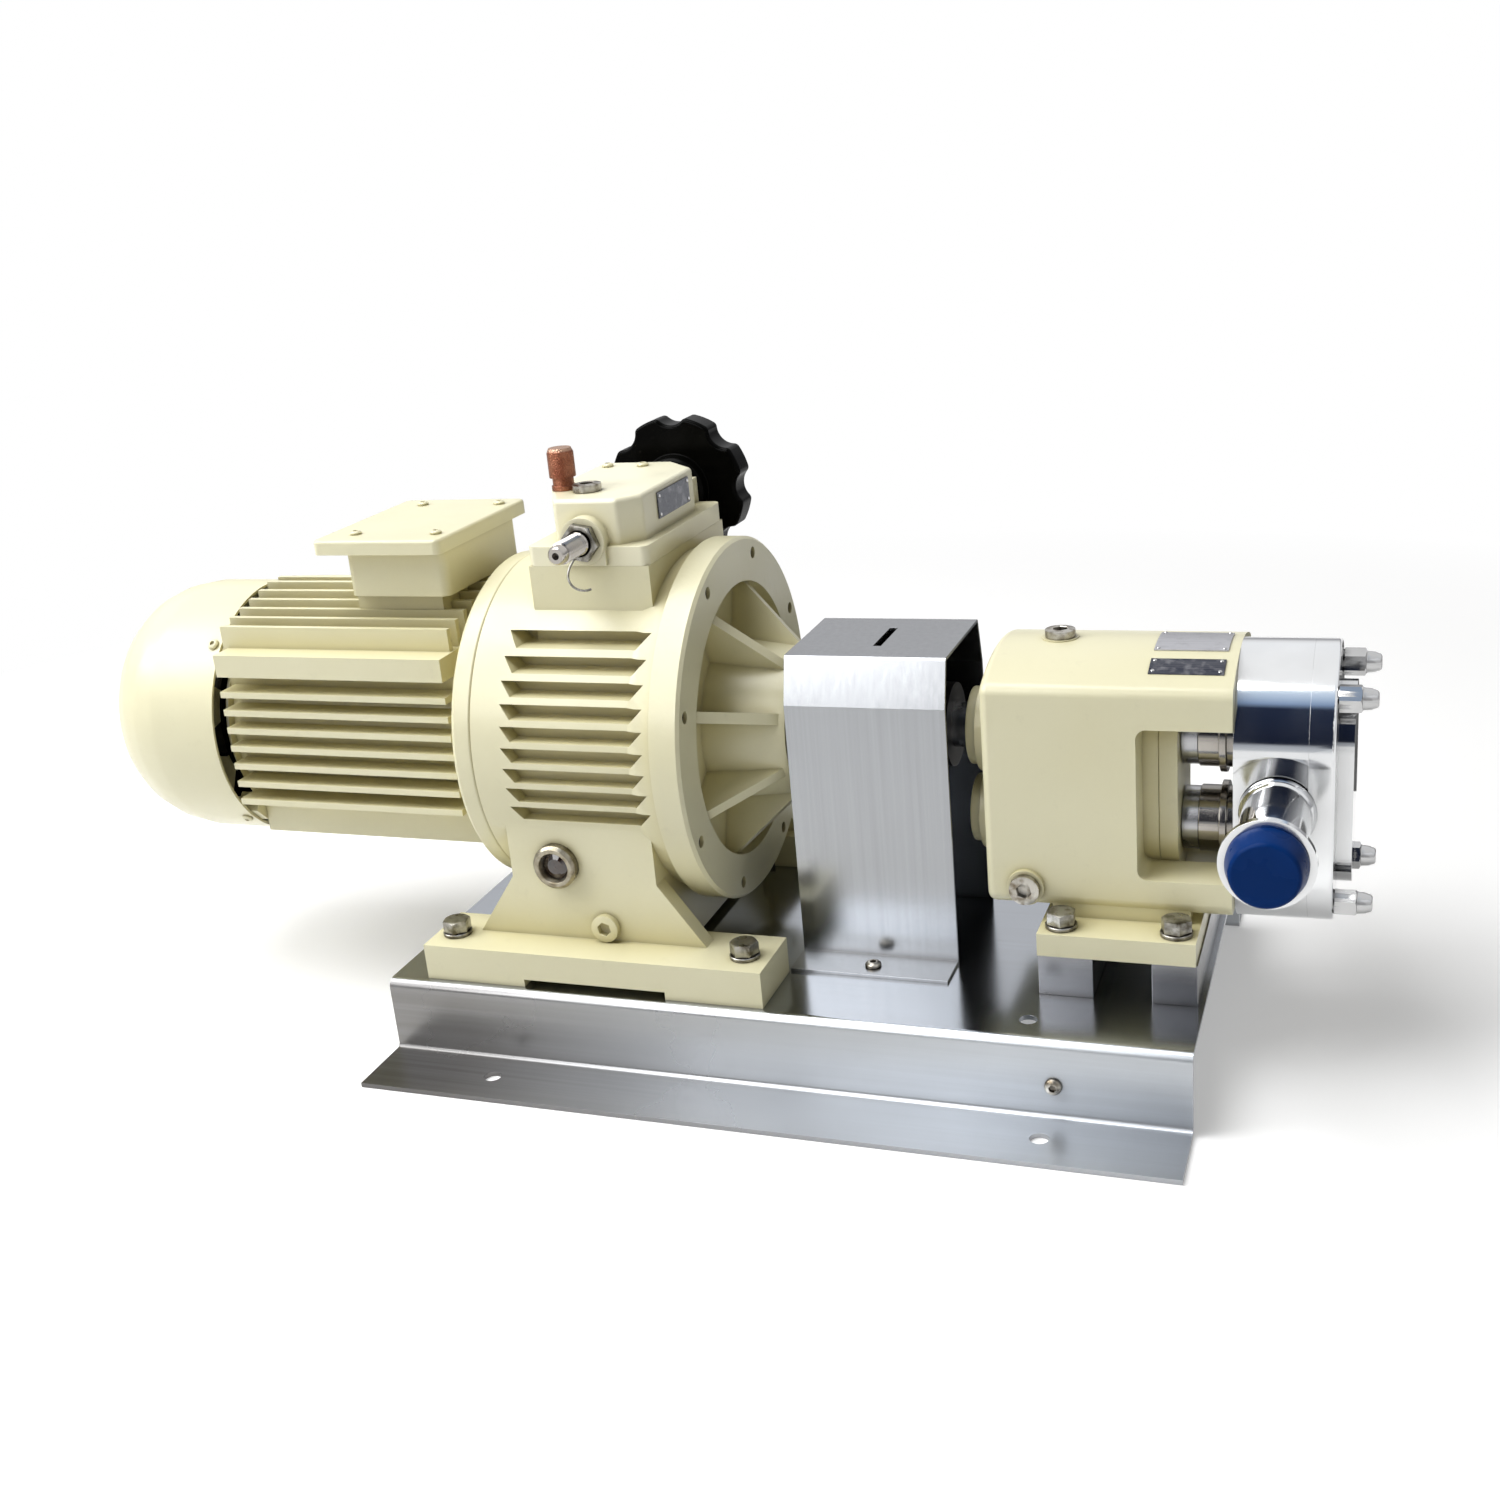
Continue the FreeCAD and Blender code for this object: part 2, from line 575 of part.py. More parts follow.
def motor_inside():
    made = body("motor_shaft", z=DRIVE_Z)
    r = D["motor_shaft_r"]
    rear, front, end = D["core_rear_x"] - 6, D["core_front_x"] + 6, D["planet_x"] + 20
    turned(made, [(D["fan_x"], 0), (D["fan_x"], r - 3), (D["fan_x"] + 18, r - 3), (D["fan_x"] + 18, r),
                  (rear, r), (rear, r + 3), (front, r + 3), (front, r), (end, r), (end, 0)])
    made = body("motor_rotor_core", z=DRIVE_Z)
    bore = r + 3 + D["seat_gap"]
    turned(made, tube(D["core_rear_x"], D["core_front_x"], bore, D["gap_r"] - D["air_gap"]))
    round_edges(made, made.Tip, 1.0, lambda point, edge: edge.Length > 150)


def cooling_fan():
    """Seven flat blades on a disc, clamped on the motor shaft's rear end."""
    made = body("cooling_fan", z=DRIVE_Z)
    bore = D["motor_shaft_r"] - 3 + D["seat_gap"]
    x = D["fan_x"]
    hub, disc = x + 15.5, x + 12.5
    turned(made, [(x, bore), (hub, bore), (hub, 16.0), (disc, 20.0), (disc, 64.0), (disc - 2, 64.0),
                  (disc - 2, 20.0), (x, 16.0)])
    blade = add(made, "XY", 14.0, 68.0, boxes(((x - 18, -1.25), (disc - 0.5, 1.25))))
    round_pattern(made, [blade], 7)
    turned(made, [(x - 19, 0), (x, 0), (x, 15.0), (x - 19, 30.0)], groove=True)


def terminal_box():
    made = body("terminal_box")
    low, high, half = D["box_base_z"], D["box_top_z"], D["box_half"]
    rear, front = D["box_rear_x"], D["box_front_x"]
    block = add_box(made, (rear, -half, low), (front, half, high))
    round_edges(made, block, 6.0, along("z"))
    cut_box(made, (rear + 4, -half + 4, low + 4), (front - 4, half - 4, high + 1))
    middle = (rear + front) / 2
    cut(made, "XZ", half - 5, half + 1, circles([(middle, D["gland_z"])], 8.3))
    spots = lid_spots()
    add(made, "XY", low + 2, high, circles(spots, 5.5))
    cut(made, "XY", high - 12, high + 1, circles(spots, D["small_hole_r"]))

    lid = body("terminal_box_lid")
    wide = D["lid_half"]
    slab = add_box(lid, (D["lid_rear_x"], -wide, high), (D["lid_front_x"], wide, D["lid_top_z"]))
    rounded = round_edges(lid, slab, 5.0, along("z"))
    round_edges(lid, rounded, 2.2, lambda point, edge: point.z > D["lid_top_z"].value - 0.1)
    cut_box(lid, (rear + 6, -half + 8, high - 1), (front - 6, half - 8, high + 5))
    cut(lid, "XY", high - 1, D["lid_top_z"] + 1, circles(spots, D["small_hole_r"]))


def lid_spots():
    return corners_of((D["box_rear_x"] + 7, D["box_front_x"] - 7), D["box_half"] - 7)


def control_spots():
    return [(D["control_screw_rear_x"], D["control_screw_y"]), (D["control_screw_front_x"], D["control_screw_y"])]


def small_screws():
    """Pan-head screws: box lid, fan cowl and two in the control box's roof."""
    made = body("small_screws")
    for spots, seat, length in ((lid_spots(), D["lid_top_z"], 16.0), (control_spots(), D["control_top"], 14.0)):
        add(made, "XY", seat, seat + 2.4, circles(spots, 3.8))
        add(made, "XY", seat - length, seat, circles(spots, 2.0))
    for quarter in range(4):
        for radius, low, length in ((3.8, D["cowl_r"], 2.4), (2.0, D["cowl_r"] - 12, 12.0)):
            sketch = sketch_on(made, "XY")
            draw_circle(sketch, (cowl_screw_spot(), 0.0), radius)
            turn_about_shaft(sketch, 45 + 90 * quarter, low.value)
            sketch.Placement.Base = sketch.Placement.Base + FreeCAD.Vector(0, 0, DRIVE_Z.value)
            bind(feature_on(made, "Pad", sketch), "Length", length)


def box_inside():
    made = body("terminal_block")
    middle = (D["box_rear_x"] + D["box_front_x"]) / 2
    floor = D["box_base_z"] + 4
    add_box(made, (middle - 18, -24.0, floor), (middle + 18, 24.0, floor + 9))
    posts = [(middle + x, size(y)) for x in (-9.0, 9.0) for y in (-15.0, 0.0, 15.0)]
    add(made, "XY", floor + 9, floor + 17, circles(posts, 2.5))
    add(made, "XY", floor + 9, floor + 12, hexagons(posts, 4.0))

    gland = body("cable_gland", x=middle, y=D["box_half"], z=D["gland_z"], turn=TO_Y)
    bore = D["gland_bore"]
    turned(gland, [(-6, bore), (20, bore), (20, 9.0), (17, 11.0), (7, 11.0), (7, 10.0), (0, 10.0),
                   (0, 8.0), (-6, 8.0)])
    add(gland, "YZ", 0, 6, hexagons([(0, 0)], 12.0))
    cut(gland, "YZ", -1, 7, circles([(0, 0)], bore))


# Variator

def both_sides(near, far):
    """The same span on both sides of the middle, each as (low, high)."""
    return [(-far, -near), (near, far)]


def fin_chord(radius, height):
    """Half width of the round housing at a height above its axis."""
    return root(radius * radius - height * height)


def variator_housing():
    """Finned round casting on a foot, open at both ends, with a pad for the control box."""
    made = body("variator_housing")
    rear, front, outer = D["housing_rear_x"], D["housing_front_x"], D["housing_r"]
    turned_at_shaft(made, [(rear, 0), (front, 0), (front, outer + 2), (front - 12, outer + 2),
                           (front - 18, outer), (rear, outer)])
    fins_between(made)
    foot_low, foot_top = D["base_top"], D["foot_top"]
    for near, far in both_sides(D["foot_in"], D["foot_out"]):
        add_box(made, (D["foot_rear_x"], near, foot_low), (D["foot_front_x"], far, foot_top))
    half = D["pedestal_half"]
    add_box(made, (D["pedestal_rear_x"], -half, foot_low + 5), (D["pedestal_front_x"], half, DRIVE_Z - 40))
    low = foot_top - 1
    gusset = [(D["pedestal_rear_x"] - 29, low), (D["pedestal_front_x"] + 30, low),
              (D["pedestal_front_x"], foot_top + 40), (D["pedestal_rear_x"], foot_top + 40)]
    for near, far in both_sides(half - 12, half):
        add(made, "XZ", near, far, loops(gusset))
    pad_half = D["control_half"] + 4
    add_box(made, (D["pad_rear_x"], -pad_half, DRIVE_Z + 60), (D["pad_front_x"], pad_half, D["pad_top"]))
    turned_at_shaft(made, tube(rear - 1, front + 1, 0, D["housing_bore"]), groove=True)
    cut_box(made, (-158.0, -D["foot_out"] - 1, foot_low - 1), (-62.0, D["foot_out"] + 1, foot_low + 5))
    cut_box(made, (D["spindle_x"] - 8, -24.0, DRIVE_Z + 60), (D["spindle_x"] + 8, 24.0, D["pad_top"] + 1))
    cut(made, "XY", foot_low - 1, foot_top + 1, circles(FOOT_SPOTS, D["foot_hole_r"]))
    for x, z, radius in ((D["sight_x"], D["sight_z"], 11.3), (D["drain_x"], D["drain_z"], D["plug_hole_r"])):
        cut(made, "XZ", -half - 1, -half + 12, circles([(x, z)], radius))


def turned_at_shaft(owner, loop, groove=False):
    """Turn an outline round the main shaft line in a sub-part that stands in the world frame."""
    outline = [(x, DRIVE_Z + r) for x, r in loop]
    kind = "Groove" if groove else "Revolution"
    turned_about(owner, kind, "XZ", 0.0, outline, (-10.0, DRIVE_Z), (10.0, DRIVE_Z))


def fins_between(owner):
    """Cut the nine gaps with slanted ends that leave ten fins on each side."""
    rear, front = D["housing_rear_x"] + 27, D["housing_front_x"] - 16
    for index in range(9):
        low = D["rib_first_z"] + D["rib_thick"] + D["rib_step"] * index
        high = D["rib_first_z"] + D["rib_step"] * (index + 1)
        worst = high - DRIVE_Z if high.value > DRIVE_Z.value else DRIVE_Z - low
        gap = [(rear, low), (front, low), (front + 9, high), (rear - 7, high)]
        for near, far in both_sides(fin_chord(D["rib_root"], worst), D["housing_r"] + 5):
            cut(owner, "XZ", near, far, loops(gap))


def input_flange():
    """Ring between the motor and the variator, with a spigot in the housing's bore."""
    made = body("input_flange", z=DRIVE_Z)
    rear, face = D["ring_rear_x"], D["housing_rear_x"]
    outer, spigot = D["ring_r"], D["housing_bore"] - D["seat_gap"]
    turned(made, [(rear, 30.0), (face + 5, 30.0), (face + 5, spigot), (face, spigot), (face, outer - 1.5),
                  (face - 1.5, outer), (rear + 3, outer), (rear, outer - 3)])


def output_cover():
    """Face flange with a deep recess and eight tapering ribs up to the bearing hub."""
    made = body("output_cover", z=DRIVE_Z)
    rear, face, recess = D["housing_front_x"], D["cover_face_x"], D["recess_x"]
    seat = D["output_bearing_r"] + D["seat_gap"]
    spigot = D["housing_bore"] - D["seat_gap"]
    end = D["hub_end_x"]
    outer, shaft_hole = D["cover_r"], D["output_r"] + 0.5
    turned(made, [(rear - 6, seat), (rear - 6, spigot), (rear, spigot), (rear, outer), (face - 2, outer),
                  (face, outer - 2), (face, D["recess_r"]), (recess, D["recess_r"] - 2), (recess, D["hub_root"]),
                  (end, D["hub_r"]), (end, shaft_hole), (end - 8, shaft_hole), (end - 8, seat)])
    rib = [(recess - 1, D["hub_root"] - 6), (recess - 1, D["recess_r"] - 1), (face - 4, D["recess_r"] - 1),
           (end - 3, D["hub_r"] - 0.5), (end - 3, D["hub_r"] - 6)]
    half = D["cover_rib_thick"] / 2
    blade = add(made, "XZ", -half, half, loops(rib))
    round_pattern(made, [blade], 8)
    hole = cut(made, "YZ", face - 8, face + 1, circles([(0.0, D["cover_screw_r"])], 3.8))
    round_pattern(made, [hole], 8)
    turn_part(made, D["cover_turn"].value)

    screws = body("output_cover_screws", z=DRIVE_Z)
    spot = (0.0, D["cover_screw_r"])
    head = add(screws, "YZ", face - 8, face - 2, circles([spot], 3.5))
    socket = cut(screws, "YZ", face - 5, face - 1, hexagons([spot], 1.7))
    round_pattern(screws, [head, socket], 8)
    turn_part(screws, D["cover_turn"].value)


def turn_part(made, degrees):
    """Turn a sub-part about its own X axis. Its Z position keeps following the sheet."""
    turn = FreeCAD.Rotation(FreeCAD.Vector(1, 0, 0), degrees)
    made.Placement = FreeCAD.Placement(made.Placement.Base, turn)


def mirrored_pair(outline):
    return [[(side * x, r) for x, r in outline] for side in (-1, 1)]


def planetary_drive():
    """Two cone discs on the motor shaft drive five double-cone planets between two race rings."""
    slope = (D["planet_half"] - D["planet_rim"]) / (D["planet_r"] - D["planet_hub"])
    gap, orbit, reach, rim = D["side_gap"], D["planet_orbit"], D["planet_r"], D["planet_rim"]
    x = D["planet_x"]
    near = orbit - reach
    sun_edge = rim + slope * (D["sun_r"] - near) + gap
    race_edge = rim + slope * (orbit + reach - D["race_r"]) + gap
    bore = D["motor_shaft_r"] + D["seat_gap"]
    suns = body("sun_discs", x=x, z=DRIVE_Z)
    sun = [(rim + gap, bore), (rim + gap, near), (sun_edge, D["sun_r"]), (16.0, D["sun_r"]), (16.0, bore)]
    turned(suns, *mirrored_pair(sun))
    rings = body("race_rings", x=x, z=DRIVE_Z)
    outer = D["housing_bore"] - D["seat_gap"]
    race = [(rim + gap, orbit + reach), (rim + gap, outer), (D["race_width"], outer),
            (D["race_width"], D["race_r"]), (race_edge, D["race_r"])]
    turned(rings, *mirrored_pair(race))
    planets = body("planet_discs", x=x, z=DRIVE_Z)
    half, hub = D["planet_half"], orbit + D["planet_hub"]
    top = orbit + reach
    double_cone = [(-half, orbit), (half, orbit), (half, hub), (rim, top), (-rim, top), (-half, hub)]
    disc = turned_about(planets, "Revolution", "XZ", 0.0, double_cone, (-10.0, orbit), (10.0, orbit))
    round_pattern(planets, [disc], 5)

    carrier = body("output_carrier", z=DRIVE_Z)
    r, arm_x = D["output_r"], D["planet_x"] + 36
    shoulder, end = D["housing_front_x"] - 6, D["jaw_rear_x"] - 1
    turned(carrier, [(arm_x, 0), (arm_x, orbit + 14), (arm_x + 10, orbit + 14), (arm_x + 14, 30.0),
                     (arm_x + 26, r + 6), (shoulder, r + 6), (shoulder, r), (end, r), (end, 0)])
    pivot = add(carrier, "YZ", x + D["planet_half"], arm_x + 5, circles([(0.0, orbit)], 5.0))
    round_pattern(carrier, [pivot], 5)


def rolling_bearings():
    """Each rolling bearing is one sealed ring: seated outside, running clearance on its shaft."""
    made = body("rolling_bearings")
    rings = []
    width = D["motor_bearing_width"]
    for end in (D["ring_rear_x"] - 4, D["frame_rear_x"] - 8 + width):
        rings.append((end - width, end, DRIVE_Z, D["motor_shaft_r"], D["motor_bearing_r"]))
    width = D["output_bearing_width"]
    for end in (D["hub_end_x"] - 8, D["housing_front_x"] - 6 + width):
        rings.append((end - width, end, DRIVE_Z, D["output_r"], D["output_bearing_r"]))
    width = D["pump_bearing_width"]
    for low in (D["body_rear_x"], D["wall_front_x"] - width):
        for height in (DRIVE_Z, DRIVEN_Z):
            rings.append((low, low + width, height, D["pump_shaft_r"], D["pump_bearing_r"]))
    for low, high, height, inner, outer in rings:
        add(made, "YZ", low, high, circles([(0, height)], outer))
        cut(made, "YZ", low, high, circles([(0, height)], inner + D["running_gap"]))


def control_box():
    """Box on the pad that turns the spindle's travel into speed."""
    made = body("control_box")
    low, high, half = D["pad_top"], D["control_top"], D["control_half"]
    shelf = low + D["control_flange"]
    flange = add_box(made, (D["pad_rear_x"], -half - 4, low), (D["pad_front_x"], half + 4, shelf))
    round_edges(made, flange, 5.0, along("z"))
    face, back = D["control_face_x"], D["pad_rear_x"] + 1
    shape = [(back + 19, -half), (face - 12, -half), (face, -half + 13), (face, half - 22), (face - 22, half),
             (back, half), (back, -half + 36)]
    top = add(made, "XY", shelf - 1, high, loops(shape))

    def upright_corner(point, edge):
        return along("z")(point, edge) and point.z > shelf.value

    rounded = round_edges(made, top, 4.0, upright_corner)
    round_edges(made, rounded, 3.0, lambda point, edge: point.z > high.value - 0.1)
    x, z = D["spindle_x"], D["spindle_z"]
    add(made, "XZ", -half - 8, -half + 4, circles([(x, z)], 14.5))
    add(made, "XZ", -half - 7, -half + 4, boxes(((x - 14, z - 15), (x + 14, z))))
    add(made, "XZ", half - 4, half + 6, boxes(((x - 18, z - 15), (x + 24, z + 12))))
    cut_box(made, (x - 20, -half + 14, low - 1), (x + 20, half - 26, high - 8))
    cut(made, "XZ", -half - 8, half + 8, circles([(x, z)], D["spindle_r"] + D["running_gap"]))
    cut(made, "XY", high - 15, high + 1, circles(control_spots(), D["small_hole_r"]))
    cut(made, "XY", high - 7, high + 1, circles([(D["breather_x"], D["breather_y"])], 4.3))
    cut(made, "XY", high - 7, high + 1, circles([(D["filler_x"], D["filler_y"])], D["plug_hole_r"]))


def control_parts():
    half = D["control_half"]
    x, z, r = D["spindle_x"], D["spindle_z"], D["spindle_r"]
    made = body("spindle_gland")
    add(made, "XZ", -half - 13, -half - 8, hexagons([(x, z)], 10.5))
    cut(made, "XZ", -half - 13, -half - 8, circles([(x, z)], r + 0.3))

    spindle = body("control_spindle", x=x, z=z, turn=TO_Y)
    end = D["wheel_y"] + 22
    grooves = []
    for step in range(5):
        start = -half - 34 + 4 * step
        grooves += [(start, r - 1.2), (start + 2, r - 1.2), (start + 2.6, r - 0.2), (start + 3.4, r - 0.2)]
    tip = [(-half - 44, 0), (-half - 44, r - 2.2), (-half - 42, r - 1.2)]
    collar = [(-half + 14.3, r), (-half + 14.3, r + 3), (-half + 17, r + 3), (-half + 17, r)]
    turned(spindle, tip + grooves + [(-half - 13, r - 0.2), (-half - 13, r)] + collar + [(end, r), (end, 0)])
    cut(spindle, "YZ", -half - 45, -half - 38, circles([(0, 0)], 2.2))

    nut = body("spindle_nut")
    block = add_box(nut, (x - 12, -13.0, z - 12), (x + 12, 13.0, z + 12))
    round_edges(nut, block, 3.0, along("y"))
    cut(nut, "XZ", -14, 14, circles([(x, z)], r + D["running_gap"]))
    add(nut, "XY", DRIVE_Z + 79, z - 11, circles([(x, 0)], 5.0))

    ring = body("cam_ring", z=DRIVE_Z)
    low, high = D["planet_x"] + D["race_width"] + 0.3, D["planet_x"] + 32
    turned(ring, tube(low, high, D["race_r"] + 3, D["housing_bore"] - D["loose_gap"]))
    notch = D["cam_notch_half"]
    cut_box(ring, (low - 1, -notch, D["race_r"] + 6), (high + 1, notch, D["housing_bore"] + 1))


def handwheel():
    """Eight-lobed knob wheel with a dished face, fixed on the spindle."""
    made = body("handwheel", x=D["spindle_x"], y=D["wheel_y"], z=D["spindle_z"], turn=TO_Y)
    reach = D["wheel_r"]
    bore = D["spindle_r"] + D["seat_gap"]
    turned(made, [(-8, bore), (-8, 20.0), (-6, 22.0), (0, 23.5), (0, reach), (20, reach),
                  (20, reach - 12), (12, reach - 16), (12, 17.0), (24, 13.0), (24, bore)])
    notch = cut(made, "YZ", -1, 21, circles([(0.0, reach + 6.5)], 12.0))
    lobes = round_pattern(made, [notch], 8)

    def lobe_corner(point, edge):
        return along("x")(point, edge) and math.hypot(point.y, point.z) > reach.value - 2

    def rim(point, edge):
        start = edge.Vertexes[0].Point
        return min(abs(point.x), abs(point.x - 20)) < 0.1 and math.hypot(start.y, start.z) > reach.value - 11

    rounded = round_edges(made, lobes, 4.0, lobe_corner)
    round_edges(made, rounded, 2.5, rim)


def breather_and_sight():
    made = body("breather", x=D["breather_x"], y=D["breather_y"], z=D["control_top"], turn=TO_Z)
    turned(made, [(-6, 0), (-6, 4.0), (0, 4.0), (0, 7.5), (3, 7.5), (3, 6.6), (8, 6.6), (8, 8.3),
                  (23, 8.3), (26, 7.0), (26, 0)])
    spot = {"x": D["sight_x"], "y": -D["pedestal_half"], "z": D["sight_z"], "turn": TO_MINUS_Y}
    ring = body("sight_glass_ring", **spot)
    turned(ring, [(-9, 8.5), (-9, 11.0), (0, 11.0), (0, 14.5), (5, 14.5), (7, 12.5), (7, 10.0), (3, 8.5)])
    glass = body("sight_glass_window", **spot)
    reach = 8.5 - D["seat_gap"]
    turned(glass, [(-9, 0), (-9, reach), (2.6, reach), (4.0, 5.0), (4.4, 0)])


def oil_plugs():
    """Identical socket plugs: variator filler and drain, pump filler and level."""
    made = body("oil_plugs")
    for x, y, z in ((D["filler_x"], D["filler_y"], D["control_top"]),
                    (D["pump_filler_x"], D["pump_filler_y"], D["body_top"] + 0.5)):
        add(made, "XY", z, z + 5, circles([(x, y)], 9.0))
        add(made, "XY", z - 6, z, circles([(x, y)], 6.5))
        cut(made, "XY", z + 1, z + 6, hexagons([(x, y)], 4.0))
    for x, z, face in ((D["drain_x"], D["drain_z"], -D["pedestal_half"]),
                       (D["level_x"], D["level_z"], -D["body_half"] - 3)):
        add(made, "XZ", face - 5, face, circles([(x, z)], 9.0))
        add(made, "XZ", face, face + 9, circles([(x, z)], 6.5))
        cut(made, "XZ", face - 6, face - 1, hexagons([(x, z)], 4.0))


# Coupling

def wedge(middle, half_angle, inner, outer):
    """Corners of a flat-sided sector, in the plane across the shaft."""
    low, high = middle - half_angle, middle + half_angle
    crown = polar(size(outer) * 1.02, middle)
    return [polar(inner, low), polar(outer, low), crown, polar(outer, high), polar(inner, high)]


def coupling():
    """Two hubs with three jaws each and a six-legged cushion between the jaws."""
    rear, front, reach = D["jaw_rear_x"], D["jaw_front_x"], D["coupling_r"]
    hubs = body("coupling_hubs", z=DRIVE_Z)
    bore_a, bore_b = D["output_r"] + D["seat_gap"], D["pump_shaft_r"] - 1 + D["seat_gap"]
    far_a, far_b = D["hub_a_x"], D["hub_b_x"]
    hub_a = [(far_a, bore_a), (far_a, 26.0), (rear - 16, 26.0), (rear - 14, reach), (rear, reach), (rear, bore_a)]
    hub_b = [(far_b, bore_b), (far_b, 26.0), (front + 16, 26.0), (front + 14, reach), (front, reach),
             (front, bore_b)]
    turned(hubs, hub_a, hub_b)
    jaw_r = reach - 1.5
    jaws = [wedge(60 * jaw, 17, 19.0, jaw_r) for jaw in range(6)]
    add(hubs, "YZ", rear - 1, front - 1, loops(*jaws[0::2]))
    add(hubs, "YZ", rear + 1, front + 1, loops(*jaws[1::2]))
    spider = body("coupling_spider", z=DRIVE_Z)
    add(spider, "YZ", rear + 1.5, front - 1.5, circles([(0, 0)], 17.0))
    legs = [wedge(30 + 60 * leg, 13, 15.0, jaw_r - 1) for leg in range(6)]
    add(spider, "YZ", rear + 1.5, front - 1.5, loops(*legs))


# Pump

def pump_housing():
    """Gear housing with two arms that carry the rotor casing and an open window at the seals."""
    made = body("pump_housing")
    rear, front, half = D["body_rear_x"], D["body_front_x"], D["body_half"]
    low, high, wall = D["body_bottom"], D["body_top"], D["body_wall"]
    add_box(made, (rear, -half, low), (front, half, high))
    axis = high - D["body_crown"]
    above = [(rear - 1, high), (front + 1, high), (front + 1, high + 30), (rear - 1, high + 30)]
    crowned = turned_about(made, "Groove", "XZ", 0.0, above, (rear, axis), (front, axis))
    rounded = round_edges(made, crowned, 8.0, along("x"))
    round_edges(made, rounded, 5.0, lambda point, edge: abs(point.x - rear.value) < 0.1)
    reach = D["pump_foot_half"]
    foot = (D["pump_foot_rear_x"], D["pump_foot_front_x"])
    add_box(made, (foot[0], -reach, D["pump_foot_low"]), (foot[1], reach, D["pump_foot_top"]))
    add_box(made, (foot[0] + 5, -half + 2, D["pump_foot_top"] - 1), (foot[1] - 6, half - 2, low + 9))
    level = (D["level_x"], D["level_z"])
    add(made, "XZ", -half - 3, -half + 1, circles([level], 11.0))
    room = (D["gear_room_x"], D["wall_x"])
    cut_box(made, (room[0], -half + wall, low + 6), (room[1], half - wall, high - wall - 8))
    window = cut_box(made, (D["window_x"], -half - 1, D["window_low"]), (front + 1, half + 1, D["window_high"]))

    def window_corner(point, edge):
        return along("y")(point, edge) and abs(point.x - D["window_x"].value) < 0.1

    round_edges(made, window, 6.0, window_corner)
    plate_r = D["bearing_plate_r"]
    add(made, "YZ", D["window_x"] - 1, D["wall_front_x"], stadium(plate_r))
    cut(made, "YZ", D["wall_front_x"], front + 1, stadium(plate_r + D["loose_gap"]))
    seat = D["pump_bearing_r"] + D["seat_gap"]
    width = D["pump_bearing_width"]
    for height in (DRIVE_Z, DRIVEN_Z):
        cut(made, "YZ", rear - 1, D["gear_room_x"] + 1, circles([(0, height)], 22.0))
        cut(made, "YZ", rear - 1, rear + width, circles([(0, height)], seat))
        cut(made, "YZ", D["wall_x"] - 1, D["wall_front_x"] + 1, circles([(0, height)], 22.0))
        cut(made, "YZ", D["wall_front_x"] - width, D["wall_front_x"] + 1, circles([(0, height)], seat))
    cut(made, "XY", D["pump_foot_low"] - 1, D["pump_foot_top"] + 1, circles(PUMP_SPOTS, D["foot_hole_r"]))
    cut(made, "XZ", -half - 4, -half + 9, circles([level], D["plug_hole_r"]))
    filler = (D["pump_filler_x"], D["pump_filler_y"])
    add(made, "XY", high - 6, high + 0.5, circles([filler], 11.0))
    cut(made, "XY", high - wall - 9, high + 1, circles([filler], D["plug_hole_r"]))


def pump_covers():
    caps = body("rear_bearing_caps")
    low, high = D["cap_x"], D["body_rear_x"]
    for height, radius in ((DRIVE_Z, D["upper_cap_r"]), (DRIVEN_Z, D["lower_cap_r"])):
        add(caps, "YZ", low + 6, high, circles([(0, height)], radius))
        add(caps, "YZ", low, low + 7, circles([(0, height)], radius - 4))
        cut(caps, "YZ", high - 6, high, circles([(0, height)], 19.0))
    cut(caps, "YZ", low - 1, high + 1, circles([(0, DRIVE_Z)], D["pump_shaft_r"] - 0.5))

    plate = body("front_bearing_plate")
    low, high = D["wall_front_x"], D["plate_front_x"]
    add(plate, "YZ", low, high, stadium(D["bearing_plate_r"]))
    for height in (DRIVE_Z, DRIVEN_Z):
        cut(plate, "YZ", low - 1, high + 1, circles([(0, height)], D["pump_shaft_r"] + 0.5))

    seals = body("shaft_seals")
    for height in (DRIVE_Z, DRIVEN_Z):
        add(seals, "YZ", D["seal_x"], D["body_front_x"], circles([(0, height)], D["seal_r"]))
        add(seals, "YZ", D["seal_x"] + 12, D["seal_x"] + 16, circles([(0, height)], D["seal_r"] + 3))
        cut(seals, "YZ", D["seal_x"] - 1, D["body_front_x"] + 1, circles([(0, height)], 13.0))


def stud_spots():
    heights = (DRIVE_Z + D["stud_z"], DRIVEN_Z - D["stud_z"])
    return [(side * D["stud_y"], height) for side in (-1, 1) for height in heights]


def rotor_casing():
    """Oval casing for the two rotors with one sanitary ferrule port in a spot face on each side."""
    made = body("rotor_casing")
    rear, front, wall = D["body_front_x"], D["casing_front_x"], D["casing_wall_x"]
    add(made, "YZ", rear, front, stadium(D["casing_r"]))
    for low, high in both_sides(D["casing_r"] - D["port_recess"], D["casing_r"] + 1):
        cut(made, "XZ", low, high, circles([(D["port_x"], PORT_Z)], D["port_recess_r"]))
    for side in (-1, 1):
        add_port(made, side)
    for height in (DRIVE_Z, DRIVEN_Z):
        cut(made, "YZ", wall, front + 1, circles([(0, height)], D["rotor_r"] + D["side_gap"]))
        cut(made, "YZ", rear - 1, front, circles([(0, height)], D["rotor_shaft_r"] + 1.5))
    cut(made, "YZ", front - 16, front + 1, circles(stud_spots(), D["stud_r"] + 0.3))
    port, inner_end = (D["port_x"], PORT_Z), D["casing_r"] + 6
    cut(made, "XZ", -inner_end, inner_end, circles([port], D["port_inner"]))
    for low, high in both_sides(inner_end, D["port_face_y"] + 1):
        cut(made, "XZ", low, high, circles([port], D["port_bore"]))


